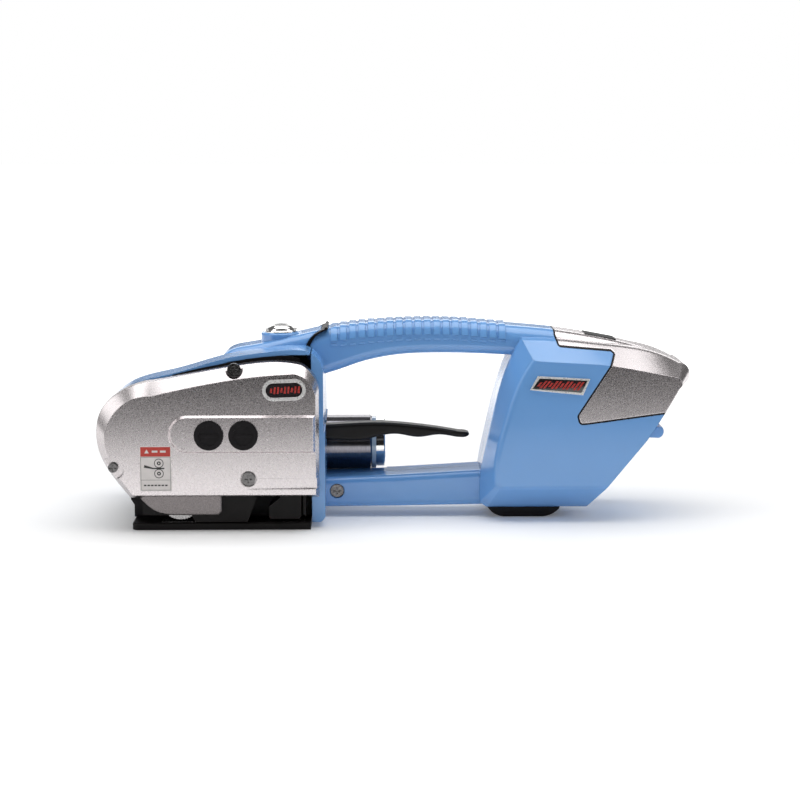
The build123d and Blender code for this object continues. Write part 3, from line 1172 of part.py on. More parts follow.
# control board under the rear cover
with BuildPart() as control_board:
    with Locations((118.0, 0.0, 84.0)):
        Box(60.0, 60.0, 1.6, align=(Align.CENTER, Align.CENTER, Align.MIN))
    for chip_x, chip_y, chip_size in ((98.0, -12.0, 9.0), (112.0, 10.0, 12.0), (132.0, -8.0, 10.0)):
        with Locations((chip_x, chip_y, 85.6)):
            Box(chip_size, chip_size, 2.0, align=(Align.CENTER, Align.CENTER, Align.MIN))
finish_part(control_board, "control_board")
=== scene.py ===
import math

import bmesh
import bpy
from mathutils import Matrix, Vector


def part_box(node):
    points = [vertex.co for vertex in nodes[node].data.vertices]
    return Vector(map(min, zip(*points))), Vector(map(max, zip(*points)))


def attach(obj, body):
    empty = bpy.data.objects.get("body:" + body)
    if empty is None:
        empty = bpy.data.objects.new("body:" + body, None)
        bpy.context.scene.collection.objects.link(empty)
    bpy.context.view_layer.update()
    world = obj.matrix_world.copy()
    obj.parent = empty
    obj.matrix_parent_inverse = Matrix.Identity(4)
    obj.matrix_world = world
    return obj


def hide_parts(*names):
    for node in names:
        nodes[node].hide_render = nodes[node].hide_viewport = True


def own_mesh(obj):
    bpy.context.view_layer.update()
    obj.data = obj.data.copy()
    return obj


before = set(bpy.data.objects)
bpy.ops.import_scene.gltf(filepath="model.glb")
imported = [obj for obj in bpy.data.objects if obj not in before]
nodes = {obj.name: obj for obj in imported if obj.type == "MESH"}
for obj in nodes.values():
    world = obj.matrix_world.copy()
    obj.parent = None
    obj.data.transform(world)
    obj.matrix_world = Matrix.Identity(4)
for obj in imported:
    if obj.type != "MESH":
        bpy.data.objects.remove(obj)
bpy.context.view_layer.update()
MM = 0.001
HOUSING = "housing"
NOISE_LOW, NOISE_HIGH = 0.3, 0.7
UNWORN_DOT, WORN_DOT = 0.98, 0.80


# ------------------------------------------------------------------ material kit
class Shader:
    """A Principled material whose colour, roughness and normal come from procedural nodes."""

    def __init__(self, name, colour, roughness, metallic=0.0, **sockets):
        self.material = bpy.data.materials.new(name)
        self.material.use_nodes = True
        self.tree = self.material.node_tree
        self.shader = self.tree.nodes["Principled BSDF"]
        self.shader.inputs["Base Color"].default_value = (*colour, 1.0)
        self.shader.inputs["Roughness"].default_value = roughness
        self.shader.inputs["Metallic"].default_value = metallic
        for socket, value in sockets.items():
            self.shader.inputs[socket.replace("_", " ")].default_value = value
        self.colour = colour
        self.roughness = roughness
        self.place = self.node("ShaderNodeTexCoord").outputs["Object"]
        self.normal = None

    def node(self, kind, **settings):
        made = self.tree.nodes.new(kind)
        for key, value in settings.items():
            setattr(made, key, value)
        return made

    def link(self, output, target):
        self.tree.links.new(output, target)

    def noise(self, scale, detail=3.0, stretch=(1.0, 1.0, 1.0), rough=0.55):
        """Noise over the object's own coordinates; scale is in cycles per metre."""
        mapping = self.node("ShaderNodeMapping")
        mapping.inputs["Scale"].default_value = stretch
        self.link(self.place, mapping.inputs["Vector"])
        texture = self.node("ShaderNodeTexNoise")
        texture.inputs["Scale"].default_value = scale
        texture.inputs["Detail"].default_value = detail
        texture.inputs["Roughness"].default_value = rough
        self.link(mapping.outputs["Vector"], texture.inputs["Vector"])
        return texture.outputs["Fac"]

    def ramp(self, value, low, high, dark, light):
        """Two-colour ramp driven by a value."""
        ramp = self.node("ShaderNodeValToRGB")
        ramp.color_ramp.elements[0].position = low
        ramp.color_ramp.elements[1].position = high
        ramp.color_ramp.elements[0].color = (*dark, 1.0)
        ramp.color_ramp.elements[1].color = (*light, 1.0)
        self.link(value, ramp.inputs["Fac"])
        return ramp.outputs["Color"]

    def spread(self, value, low, high):
        """Map the span that noise mostly keeps to onto a range."""
        mapped = self.node("ShaderNodeMapRange")
        mapped.inputs["From Min"].default_value = NOISE_LOW
        mapped.inputs["From Max"].default_value = NOISE_HIGH
        mapped.inputs["To Min"].default_value = low
        mapped.inputs["To Max"].default_value = high
        self.link(value, mapped.inputs["Value"])
        return mapped.outputs["Result"]

    def vary_colour(self, scale, amount, stretch=(1.0, 1.0, 1.0)):
        """Slow drift of the base colour about its mean."""
        dark = tuple(c * (1.0 - amount) for c in self.colour)
        light = tuple(min(1.0, c * (1.0 + amount)) for c in self.colour)
        colour = self.ramp(self.noise(scale, stretch=stretch), 0.35, 0.65, dark, light)
        self.link(colour, self.shader.inputs["Base Color"])
        return colour

    def vary_roughness(self, scale, amount, stretch=(1.0, 1.0, 1.0)):
        fac = self.noise(scale, detail=5.0, stretch=stretch)
        out = self.spread(fac, self.roughness - amount, self.roughness + amount)
        self.link(out, self.shader.inputs["Roughness"])

    def soft_edges(self, radius):
        """Rounded look on edges that the solid leaves sharp."""
        bevel = self.node("ShaderNodeBevel", samples=4)
        bevel.inputs["Radius"].default_value = radius * MM
        self.normal = bevel.outputs["Normal"]
        self.link(self.normal, self.shader.inputs["Normal"])

    def bump(self, scale, height, detail=3.0, stretch=(1.0, 1.0, 1.0)):
        """Fine relief; height in millimetres."""
        bump = self.node("ShaderNodeBump")
        bump.inputs["Strength"].default_value = 1.0
        bump.inputs["Distance"].default_value = height * MM
        self.link(self.noise(scale, detail, stretch), bump.inputs["Height"])
        if self.normal is not None:
            self.link(self.normal, bump.inputs["Normal"])
        self.normal = bump.outputs["Normal"]
        self.link(self.normal, self.shader.inputs["Normal"])

    def worn_edges(self, radius, colour, base):
        """Edges of the base colour rubbed lighter where the bevelled normal leaves the true one."""
        bevel = self.node("ShaderNodeBevel", samples=6)
        bevel.inputs["Radius"].default_value = radius * MM
        geometry = self.node("ShaderNodeNewGeometry")
        dot = self.node("ShaderNodeVectorMath", operation="DOT_PRODUCT")
        self.link(bevel.outputs["Normal"], dot.inputs[0])
        self.link(geometry.outputs["Normal"], dot.inputs[1])
        mask = self.node("ShaderNodeMapRange")
        mask.inputs["From Min"].default_value = UNWORN_DOT
        mask.inputs["From Max"].default_value = WORN_DOT
        self.link(dot.outputs["Value"], mask.inputs["Value"])
        patchy = self.node("ShaderNodeMath", operation="MULTIPLY")
        self.link(mask.outputs["Result"], patchy.inputs[0])
        self.link(self.spread(self.noise(900.0, 4.0), 0.2, 1.0), patchy.inputs[1])
        mix = self.node("ShaderNodeMix", data_type="RGBA")
        self.link(patchy.outputs["Value"], mix.inputs["Factor"])
        self.link(base, mix.inputs["A"])
        mix.inputs["B"].default_value = (*colour, 1.0)
        self.link(mix.outputs["Result"], self.shader.inputs["Base Color"])

    def dark_seam(self, half_width, colour, base):
        """Thin dark parting line on the plane Y = 0."""
        split = self.node("ShaderNodeSeparateXYZ")
        self.link(self.place, split.inputs["Vector"])
        size = self.node("ShaderNodeMath", operation="ABSOLUTE")
        self.link(split.outputs["Y"], size.inputs[0])
        near = self.node("ShaderNodeMath", operation="LESS_THAN")
        self.link(size.outputs["Value"], near.inputs[0])
        near.inputs[1].default_value = half_width * MM
        mix = self.node("ShaderNodeMix", data_type="RGBA")
        self.link(near.outputs["Value"], mix.inputs["Factor"])
        self.link(base, mix.inputs["A"])
        mix.inputs["B"].default_value = (*colour, 1.0)
        self.link(mix.outputs["Result"], self.shader.inputs["Base Color"])


def blue_plastic(name, seam):
    shell = Shader(name, (0.138, 0.330, 0.665), 0.22, Coat_Weight=0.40, Coat_Roughness=0.08)
    colour = shell.vary_colour(9.0, 0.035)
    shell.vary_roughness(60.0, 0.04)
    shell.soft_edges(0.9)
    shell.bump(1400.0, 0.012)
    if seam:
        shell.dark_seam(0.13, (0.02, 0.06, 0.13), colour)
    return shell.material


def make_materials():
    made = {"blue_shell": blue_plastic("blue_shell", False),
            "blue_split": blue_plastic("blue_split", True)}

    # the second silver is a darker copy of the silver paint: painted shade for the wheel guard,
    # which sits in the side cover's shadow
    for name, colour in (("silver_paint", (0.60, 0.56, 0.565)),
                         ("silver_painted_shade", (0.16, 0.145, 0.145))):
        silver = Shader(name, colour, 0.27, 1.0, Coat_Weight=0.12, Coat_Roughness=0.15)
        silver.vary_colour(2600.0, 0.03)
        silver.vary_roughness(900.0, 0.03)
        silver.soft_edges(0.8)
        silver.bump(3200.0, 0.0009)
        made[name] = silver.material

    rubber = Shader("black_rubber", (0.006, 0.005, 0.006), 0.45, Specular_IOR_Level=0.18)
    rubber.vary_colour(300.0, 0.25)
    rubber.vary_roughness(500.0, 0.08)
    rubber.soft_edges(0.5)
    rubber.bump(2500.0, 0.03)
    made["black_rubber"] = rubber.material

    lever = Shader("black_plastic", (0.005, 0.004, 0.004), 0.34, Specular_IOR_Level=0.22)
    lever.vary_colour(80.0, 0.2)
    lever.vary_roughness(400.0, 0.05)
    lever.soft_edges(1.6)
    lever.bump(1800.0, 0.018)
    made["black_plastic"] = lever.material

    black = Shader("black_steel", (0.007, 0.006, 0.006), 0.42, Specular_IOR_Level=0.16)
    drift = black.vary_colour(50.0, 0.25)
    black.vary_roughness(350.0, 0.09, stretch=(1.0, 8.0, 8.0))
    black.worn_edges(0.4, (0.07, 0.06, 0.055), drift)
    black.bump(1500.0, 0.015)
    made["black_steel"] = black.material

    cast = Shader("cast_frame", (0.008, 0.007, 0.008), 0.55, Specular_IOR_Level=0.2)
    cast.vary_colour(120.0, 0.3)
    cast.vary_roughness(500.0, 0.08)
    cast.soft_edges(0.8)
    cast.bump(700.0, 0.06, detail=6.0)
    made["cast_frame"] = cast.material

    steel = Shader("bright_steel", (0.42, 0.41, 0.41), 0.27, 1.0)
    steel.vary_colour(600.0, 0.12)
    steel.vary_roughness(900.0, 0.10, stretch=(1.0, 14.0, 1.0))
    steel.soft_edges(0.3)
    steel.bump(1500.0, 0.008, stretch=(1.0, 12.0, 1.0))
    made["bright_steel"] = steel.material

    dark_screw = Shader("dark_screw", (0.16, 0.155, 0.155), 0.26, 1.0)
    dark_screw.vary_colour(900.0, 0.2)
    dark_screw.vary_roughness(1200.0, 0.08)
    dark_screw.soft_edges(0.4)
    made["dark_screw"] = dark_screw.material

    chrome = Shader("chrome_trim", (0.78, 0.775, 0.77), 0.10, 1.0)
    chrome.vary_colour(400.0, 0.04)
    chrome.vary_roughness(700.0, 0.04)
    chrome.soft_edges(0.5)
    made["chrome_trim"] = chrome.material

    motor = Shader("motor_paint", (0.20, 0.195, 0.215), 0.17, 1.0)
    motor.vary_colour(200.0, 0.12, stretch=(10.0, 1.0, 1.0))
    motor.vary_roughness(600.0, 0.05, stretch=(8.0, 1.0, 1.0))
    motor.bump(900.0, 0.006, stretch=(10.0, 1.0, 1.0))
    made["motor_paint"] = motor.material

    clear = Shader("ring_clear", (0.46, 0.58, 0.70), 0.12, Coat_Weight=0.8, Coat_Roughness=0.03)
    clear.vary_colour(60.0, 0.05)
    clear.vary_roughness(200.0, 0.03)
    clear.soft_edges(0.4)
    made["ring_clear"] = clear.material

    badge = Shader("badge_face", (0.82, 0.81, 0.80), 0.30, 0.55)
    badge.vary_colour(500.0, 0.05)
    badge.vary_roughness(900.0, 0.05)
    badge.soft_edges(0.4)
    made["badge_face"] = badge.material

    inset = Shader("badge_inset", (0.016, 0.012, 0.014), 0.22, Coat_Weight=0.6, Coat_Roughness=0.05)
    inset.vary_colour(300.0, 0.3)
    inset.vary_roughness(900.0, 0.05)
    made["badge_inset"] = inset.material

    red = Shader("badge_red", (0.40, 0.030, 0.024), 0.28, Coat_Weight=0.6, Coat_Roughness=0.05)
    red.vary_colour(400.0, 0.15)
    red.vary_roughness(900.0, 0.05)
    made["badge_red"] = red.material

    vinyl = Shader("label_vinyl", (0.66, 0.625, 0.61), 0.42)
    vinyl.vary_colour(250.0, 0.04)
    vinyl.vary_roughness(700.0, 0.06)
    made["label_vinyl"] = vinyl.material

    print_red = Shader("print_red", (0.46, 0.035, 0.022), 0.40)
    print_red.vary_colour(500.0, 0.06)
    made["print_red"] = print_red.material

    print_black = Shader("print_black", (0.020, 0.018, 0.018), 0.42)
    print_black.vary_colour(700.0, 0.2)
    made["print_black"] = print_black.material

    lens = Shader("lens_dark", (0.006, 0.006, 0.007), 0.06, Coat_Weight=0.8, Coat_Roughness=0.02)
    lens.vary_colour(300.0, 0.2)
    lens.vary_roughness(500.0, 0.02)
    made["lens_dark"] = lens.material

    board = Shader("board_green", (0.02, 0.13, 0.05), 0.45)
    board.vary_colour(700.0, 0.3)
    made["board_green"] = board.material

    brass = Shader("contact_brass", (0.55, 0.40, 0.16), 0.25, 1.0)
    brass.vary_colour(600.0, 0.1)
    made["contact_brass"] = brass.material

    cells = Shader("cell_wrap", (0.05, 0.22, 0.12), 0.30)
    cells.vary_colour(200.0, 0.1)
    made["cell_wrap"] = cells.material
    return made


materials = make_materials()
BY_SLOT = {
    "blue_shell": ["head_top_cover", "far_cover", "battery_case", "battery_latch"],
    "ring_clear": ["motor_ring"],
    "blue_split": ["housing_near", "housing_far"],
    "silver_paint": ["side_cover", "rear_cover"],
    # the wheel guard takes the darker silver: painted shade under the side cover
    "silver_painted_shade": ["wheel_guard"],
    "black_rubber": ["cap_front", "cap_rear", "drive_belt", "seam_trim", "rubber_foot",
                     "rear_gasket"],
    "black_plastic": ["lever_arm", "button_switch"],
    "black_steel": ["base_plate", "weld_arm", "rocker_arm", "weld_shoe", "cutter_blade",
                    "bearing_bracket"],
    "cast_frame": ["frame_casting"],
    "dark_screw": ["cover_screws", "housing_screws", "far_cover_screws", "base_screws"],
    "chrome_trim": ["motor_end_cap", "button_ring", "tension_button"],
    "motor_paint": ["motor_can"],
    "badge_face": ["oval_badge", "rear_badge"],
    "label_vinyl": ["info_label"],
    "lens_dark": ["display_lens"],
    "board_green": ["control_board"],
    "contact_brass": ["bay_contacts"],
    "cell_wrap": ["battery_cells"],
}
finish_of = {node: slot for slot, members in BY_SLOT.items() for node in members}
for name, obj in nodes.items():
    obj.data.materials.clear()
    obj.data.materials.append(materials[finish_of.get(name, "bright_steel")])


# ------------------------------------------------------------------ mesh kit
def mesh_object(name, build, material, body=HOUSING, bevel=0.0):
    """A mesh piece filled by build(bm) in millimetres, riding on a body."""
    bm = bmesh.new()
    build(bm)
    bmesh.ops.scale(bm, vec=(MM, MM, MM), verts=bm.verts)
    bmesh.ops.recalc_face_normals(bm, faces=bm.faces)
    mesh = bpy.data.meshes.new(name)
    bm.to_mesh(mesh)
    bm.free()
    obj = bpy.data.objects.new(name, mesh)
    bpy.context.scene.collection.objects.link(obj)
    mesh.materials.append(materials[material])
    if bevel:
        rounding = obj.modifiers.new("rounding", "BEVEL")
        rounding.width = bevel * MM
        rounding.segments = 3
        rounding.limit_method = "ANGLE"
        for polygon in mesh.polygons:
            polygon.use_smooth = True
    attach(obj, body)
    return obj


def add_slab(bm, outline, y_back, y_front):
    """Prism with an X-Z outline between two Y planes."""
    back = [bm.verts.new((x, y_back, z)) for x, z in outline]
    front = [bm.verts.new((x, y_front, z)) for x, z in outline]
    bm.faces.new(back)
    bm.faces.new(list(reversed(front)))
    count = len(outline)
    for i in range(count):
        j = (i + 1) % count
        bm.faces.new((back[i], front[i], front[j], back[j]))


def add_ring(bm, centre, outer, inner, y_back, y_front, steps=36):
    """Flat ring facing -Y."""
    loops = []
    for radius in (outer, inner):
        for y in (y_back, y_front):
            loops.append([bm.verts.new((centre[0] + radius * math.cos(2 * math.pi * i / steps), y,
                                        centre[1] + radius * math.sin(2 * math.pi * i / steps)))
                          for i in range(steps)])
    outer_back, outer_front, inner_back, inner_front = loops
    for i in range(steps):
        j = (i + 1) % steps
        bm.faces.new((outer_back[i], outer_back[j], outer_front[j], outer_front[i]))
        bm.faces.new((inner_back[i], inner_front[i], inner_front[j], inner_back[j]))
        bm.faces.new((outer_front[i], outer_front[j], inner_front[j], inner_front[i]))
        bm.faces.new((outer_back[i], inner_back[i], inner_back[j], outer_back[j]))


def box_outline(x0, z0, x1, z1):
    return [(x0, z0), (x1, z0), (x1, z1), (x0, z1)]


def slot_outline(cx, cz, length, height, tilt=0.0, steps=14):
    """Slot-shaped outline, tilted in degrees."""
    radius = height / 2
    reach = length / 2 - radius
    points = []
    for side in (1, -1):
        for i in range(steps + 1):
            angle = -math.pi / 2 + math.pi * i / steps + (0 if side > 0 else math.pi)
            points.append((side * reach + radius * math.cos(angle), radius * math.sin(angle)))
    c, s = math.cos(math.radians(tilt)), math.sin(math.radians(tilt))
    return [(cx + x * c - z * s, cz + x * s + z * c) for x, z in points]


# ------------------------------------------------------------------ print on the label
label_low, label_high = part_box("info_label")
LABEL_X0, LABEL_X1 = label_low.x / MM, label_high.x / MM
LABEL_Z0, LABEL_Z1 = label_low.z / MM, label_high.z / MM
LABEL_Y = label_low.y / MM
PRINT = 0.05             # thickness of the print
LABEL_MARGIN = 0.6
LABEL_LINE = 0.18        # width of the printed lines
HEADER_HEIGHT = 6.6
ROLLER_SHIFT = 2.0       # the rollers stand right of the label's middle
DASH_COUNT, DASH_PITCH, DASH_LENGTH = 7, 2.15, 1.5
BAR_PITCH, BAR_LENGTH = 5.0, 3.4


def label_red(bm):
    add_slab(bm, box_outline(LABEL_X0 + LABEL_MARGIN, LABEL_Z1 - HEADER_HEIGHT,
                             LABEL_X1 - LABEL_MARGIN, LABEL_Z1 - 0.7),
             LABEL_Y, LABEL_Y - PRINT)


def label_black(bm):
    front = LABEL_Y - PRINT
    middle = (LABEL_X0 + LABEL_X1) / 2
    left, right = LABEL_X0 + LABEL_MARGIN, LABEL_X1 - LABEL_MARGIN
    low, high = LABEL_Z0 + LABEL_MARGIN, LABEL_Z1 - 7.1
    # thin frame and divider
    for z in (low, LABEL_Z0 + 6.9, high):
        add_slab(bm, box_outline(left, z, right, z + LABEL_LINE), LABEL_Y, front)
    for x in (left, LABEL_X1 - LABEL_MARGIN - LABEL_LINE):
        add_slab(bm, box_outline(x, low, x + LABEL_LINE, high), LABEL_Y, front)
    # two rollers and a strap end running between them
    for centre_z in (LABEL_Z0 + 17.4, LABEL_Z0 + 11.0):
        add_ring(bm, (middle + ROLLER_SHIFT, centre_z), 2.9, 2.45, LABEL_Y, front)
        add_ring(bm, (middle + ROLLER_SHIFT, centre_z), 1.2, 0.5, LABEL_Y, front)
    strap_z = LABEL_Z0 + 14.2
    add_slab(bm, [(middle - 7.2, strap_z + 0.5), (middle - 1.6, strap_z - 0.4),
                  (middle + 5.4, strap_z - 0.4), (middle + 5.4, strap_z + 0.4),
                  (middle - 1.4, strap_z + 0.4), (middle - 6.8, strap_z + 2.2)], LABEL_Y, front)
    # row of plain dashes
    for index in range(DASH_COUNT):
        x = LABEL_X0 + 2.4 + index * DASH_PITCH
        add_slab(bm, box_outline(x, LABEL_Z0 + 3.2, x + DASH_LENGTH, LABEL_Z0 + 4.1),
                 LABEL_Y, front)


def label_white(bm):
    """Light triangle and two bars in the red header."""
    front = LABEL_Y - 2 * PRINT
    low = LABEL_Z1 - 4.6
    add_slab(bm, [(LABEL_X0 + 3.0, low), (LABEL_X0 + 5.8, low), (LABEL_X0 + 4.4, low + 2.4)],
             LABEL_Y - PRINT, front)
    for index in range(2):
        x = LABEL_X0 + 7.6 + BAR_PITCH * index
        add_slab(bm, box_outline(x, low + 0.5, x + BAR_LENGTH, low + 1.7), LABEL_Y - PRINT, front)


mesh_object("label_header", label_red, "print_red")
mesh_object("label_symbols", label_black, "print_black")
mesh_object("label_header_bars", label_white, "label_vinyl")

# ------------------------------------------------------------------ badge insets
BADGE_X, BADGE_Z, BADGE_TILT = -69.6, 89.2, 2.0
BADGE_FLOOR, INSET_FACE, BARS_FACE = -62.8, -63.1, -63.22
INSET_LENGTH, INSET_HEIGHT = 22.2, 8.8
OVAL_BARS, OVAL_PITCH = 9, 2.1
TALL_HALF, SHORT_HALF = 2.1, 1.4


def oval_inset(bm):
    outline = slot_outline(BADGE_X, BADGE_Z, INSET_LENGTH, INSET_HEIGHT, BADGE_TILT)
    add_slab(bm, outline, BADGE_FLOOR, INSET_FACE)


def oval_bars(bm):
    """Plain slanted red bars in place of lettering; every third one is shorter."""
    first = BADGE_X - OVAL_PITCH * (OVAL_BARS - 1) / 2
    for index in range(OVAL_BARS):
        x = first + OVAL_PITCH * index
        z = BADGE_Z + math.tan(math.radians(BADGE_TILT)) * (x - BADGE_X)
        half = TALL_HALF if index % 3 else SHORT_HALF
        add_slab(bm, [(x - 0.2, z - half), (x + 1.0, z - half), (x + 1.4, z + half),
                      (x + 0.2, z + half)], INSET_FACE, BARS_FACE)


REAR_BADGE = [(82.2, 85.3), (86.9, 94.0), (119.5, 92.1), (115.3, 82.0)]
REAR_BADGE_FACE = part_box("rear_badge")[0].y / MM
REAR_INSET_RISE, REAR_BARS_RISE = 0.12, 0.24
REAR_BARS, BAR_START, BAR_END = 12, 0.12, 0.74


def shrink(outline, amount):
    """Outline pulled in towards its middle by about amount."""
    cx = sum(x for x, z in outline) / len(outline)
    cz = sum(z for x, z in outline) / len(outline)
    width = max(x for x, z in outline) - min(x for x, z in outline)
    height = max(z for x, z in outline) - min(z for x, z in outline)
    return [(cx + (x - cx) * (1 - 2 * amount / width), cz + (z - cz) * (1 - 2 * amount / height))
            for x, z in outline]


def rear_inset(bm):
    add_slab(bm, shrink(REAR_BADGE, 1.5), REAR_BADGE_FACE + 0.1,
             REAR_BADGE_FACE - REAR_INSET_RISE)


def rear_bars(bm):
    """Plain red bars across the slanted badge; every third one is shorter."""
    (x0, z0), (x1, z1), (x2, z2), (x3, z3) = shrink(REAR_BADGE, 2.9)
    for index in range(REAR_BARS):
        start, end = (index + BAR_START) / REAR_BARS, (index + BAR_END) / REAR_BARS
        cut = 0.0 if index % 3 else 0.22
        corners = []
        for t, up in ((start, cut), (end, cut), (end, 1 - cut), (start, 1 - cut)):
            bx, bz = x0 + (x3 - x0) * t, z0 + (z3 - z0) * t
            tx, tz = x1 + (x2 - x1) * t, z1 + (z2 - z1) * t
            corners.append((bx + (tx - bx) * up, bz + (tz - bz) * up))
        add_slab(bm, corners, REAR_BADGE_FACE - REAR_INSET_RISE,
                 REAR_BADGE_FACE - REAR_BARS_RISE)


mesh_object("oval_badge_inset", oval_inset, "badge_inset")
mesh_object("oval_badge_bars", oval_bars, "badge_red")
mesh_object("rear_badge_inset", rear_inset, "badge_inset", bevel=0.08)
mesh_object("rear_badge_bars", rear_bars, "badge_red")


# ------------------------------------------------------------------ raised marks on the platform
PLUS_X, MINUS_X = -131.0, -79.6
MARK_BACK, MARK_FRONT = -63.9, -64.18


def platform_marks(bm):
    """Small raised pointers and plus and minus signs beside the two caps."""
    back, front = MARK_BACK, MARK_FRONT
    for cx in (PLUS_X, MINUS_X):
        add_slab(bm, box_outline(cx - 1.6, 69.2, cx + 1.6, 69.7), back, front)
        add_slab(bm, box_outline(cx - 1.6, 53.1, cx + 1.6, 53.6), back, front)
        if cx == PLUS_X:
            add_slab(bm, box_outline(cx - 0.25, 68.0, cx + 0.25, 70.9), back, front)
        add_slab(bm, [(cx - 1.5, 62.9), (cx + 1.5, 62.9), (cx, 65.5)], back, front)
        add_slab(bm, [(cx - 1.5, 60.1), (cx, 57.5), (cx + 1.5, 60.1)], back, front)


mesh_object("platform_marks", platform_marks, "silver_paint")


# ------------------------------------------------------------------ black strip over the side cover
COVER_TOP = [(-139.0, 96.0), (-130.0, 97.6), (-120.8, 99.3), (-107.0, 101.6), (-93.4, 104.0),
             (-82.0, 105.0), (-72.1, 105.4), (-65.0, 104.8), (-60.5, 103.9)]
STRIP_RISE = [0.2, 0.8, 1.2, 1.6, 1.9, 2.2, 2.5, 2.6, 2.2]
STRIP_DROP = 1.0         # the strip reaches this far down behind the cover's edge
STRIP_BACK, STRIP_FRONT = -44.5, -45.3


def cover_strip(bm):
    """Thin black gasket that shows above the silver cover and widens towards the handle."""
    upper = [(x, z + rise) for (x, z), rise in zip(COVER_TOP, STRIP_RISE)]
    lower = [(x, z - STRIP_DROP) for x, z in COVER_TOP]
    for i in range(len(upper) - 1):
        add_slab(bm, [lower[i], lower[i + 1], upper[i + 1], upper[i]], STRIP_BACK, STRIP_FRONT)


mesh_object("cover_gasket", cover_strip, "black_rubber")

# ------------------------------------------------------------------ dashes under the grip ribs
HANDLE_TOP = [(-45.3, 120.6), (-30.0, 122.9), (-17.2, 124.2), (2.0, 125.4), (21.2, 125.7),
              (40.3, 125.2), (65.9, 122.9), (100.6, 119.6)]
GRIP_FIRST, GRIP_PITCH, GRIP_COUNT = -40.0, 5.9, 19
HANDLE_HALF = 17.0
DASH_HALF_LENGTH, DASH_HALF_HEIGHT = 2.1, 0.65
DASH_DROP = 11.9         # below the top of the handle


def top_height(x):
    """Height of the handle's top at x."""
    for (x0, z0), (x1, z1) in zip(HANDLE_TOP, HANDLE_TOP[1:]):
        if x0 <= x <= x1:
            return z0 + (z1 - z0) * (x - x0) / (x1 - x0)
    return HANDLE_TOP[-1][1]


def grip_dashes(bm):
    """One raised dash under each rib, on both sides; the end ones sit a little higher."""
    for side in (-1, 1):
        for index in range(GRIP_COUNT):
            x = GRIP_FIRST + GRIP_PITCH * index
            from_end = min(index, GRIP_COUNT - 1 - index)
            drop = DASH_DROP - (1.4 if from_end == 0 else 0.5 if from_end == 1 else 0.0)
            drop -= 1.4 * index / GRIP_COUNT
            z = top_height(x) - drop
            tilt = math.atan2(top_height(x + 2) - top_height(x - 2), 4.0)
            rise = math.sin(tilt) * DASH_HALF_LENGTH
            left, right = x - DASH_HALF_LENGTH, x + DASH_HALF_LENGTH
            outline = [(left, z - rise - DASH_HALF_HEIGHT), (right, z + rise - DASH_HALF_HEIGHT),
                       (right, z + rise + DASH_HALF_HEIGHT), (left, z - rise + DASH_HALF_HEIGHT)]
            add_slab(bm, outline, side * (HANDLE_HALF - 0.3), side * (HANDLE_HALF + 0.55))


mesh_object("grip_dashes", grip_dashes, "blue_shell", bevel=0.35)


# ------------------------------------------------------------------ motor trim
MOTOR_Y, MOTOR_Z = 22.0, 41.5
BOLT_CIRCLE = 9.0


def motor_bolts(bm):
    """Two small screw heads on the motor's end cap."""
    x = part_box("motor_end_cap")[1].x / MM
    for angle in (50, 230):
        y = MOTOR_Y + BOLT_CIRCLE * math.cos(math.radians(angle))
        z = MOTOR_Z + BOLT_CIRCLE * math.sin(math.radians(angle))
        ring = bmesh.ops.create_cone(bm, segments=20, radius1=2.1, radius2=1.7, depth=0.8,
                                     cap_ends=True)
        for vert in ring["verts"]:
            along = vert.co.z
            vert.co = Vector((x - 0.2 + along, y + vert.co.x, z + vert.co.y))


mesh_object("motor_cap_screws", motor_bolts, "dark_screw")


# ------------------------------------------------------------------ rocker spring
SPRING_LOW, SPRING_HIGH = (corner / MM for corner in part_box("rocker_spring"))
SPRING_WIRE = 0.55
SPRING_TURNS = 6
STEPS_PER_TURN, WIRE_SIDES = 36, 10


def spring_coil(bm):
    """Round wire wound upwards, closed by a flat face at each end."""
    centre = (SPRING_LOW + SPRING_HIGH) / 2
    radius = (SPRING_HIGH.x - SPRING_LOW.x) / 2 - SPRING_WIRE
    bottom, top = SPRING_LOW.z + SPRING_WIRE, SPRING_HIGH.z - SPRING_WIRE
    steps, sides = SPRING_TURNS * STEPS_PER_TURN, WIRE_SIDES
    rings = []
    for i in range(steps + 1):
        angle = 2 * math.pi * SPRING_TURNS * i / steps
        outward = Vector((math.cos(angle), math.sin(angle), 0.0))
        height = bottom + (top - bottom) * i / steps
        middle = Vector((centre.x, centre.y, height)) + radius * outward
        rings.append([])
        for k in range(sides):
            turn = 2 * math.pi * k / sides
            offset = math.cos(turn) * outward + Vector((0.0, 0.0, math.sin(turn)))
            rings[-1].append(bm.verts.new(middle + SPRING_WIRE * offset))
    for first, second in zip(rings, rings[1:]):
        for k in range(sides):
            n = (k + 1) % sides
            bm.faces.new((first[k], first[n], second[n], second[k]))
    bm.faces.new(list(reversed(rings[0])))
    bm.faces.new(rings[-1])


coil = mesh_object("rocker_spring_coil", spring_coil, "bright_steel")
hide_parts("rocker_spring")
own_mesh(coil)


# ------------------------------------------------------------------ studio
def stage_plane(name, size_x, size_y, location, rotation, paint):
    """Flat card of the studio, facing +Z before it is turned."""
    mesh = bpy.data.meshes.new(name)
    hx, hy = size_x / 2, size_y / 2
    mesh.from_pydata([(-hx, -hy, 0), (hx, -hy, 0), (hx, hy, 0), (-hx, hy, 0)], [], [(0, 1, 2, 3)])
    obj = bpy.data.objects.new(name, mesh)
    bpy.context.scene.collection.objects.link(obj)
    obj.location = location
    obj.rotation_euler = rotation
    mesh.materials.append(paint.material)
    return obj


def only_reflected(card):
    """A card that shows in reflections and nowhere else."""
    card.visible_camera = False
    card.visible_diffuse = False
    card.visible_shadow = False
    card.visible_transmission = False


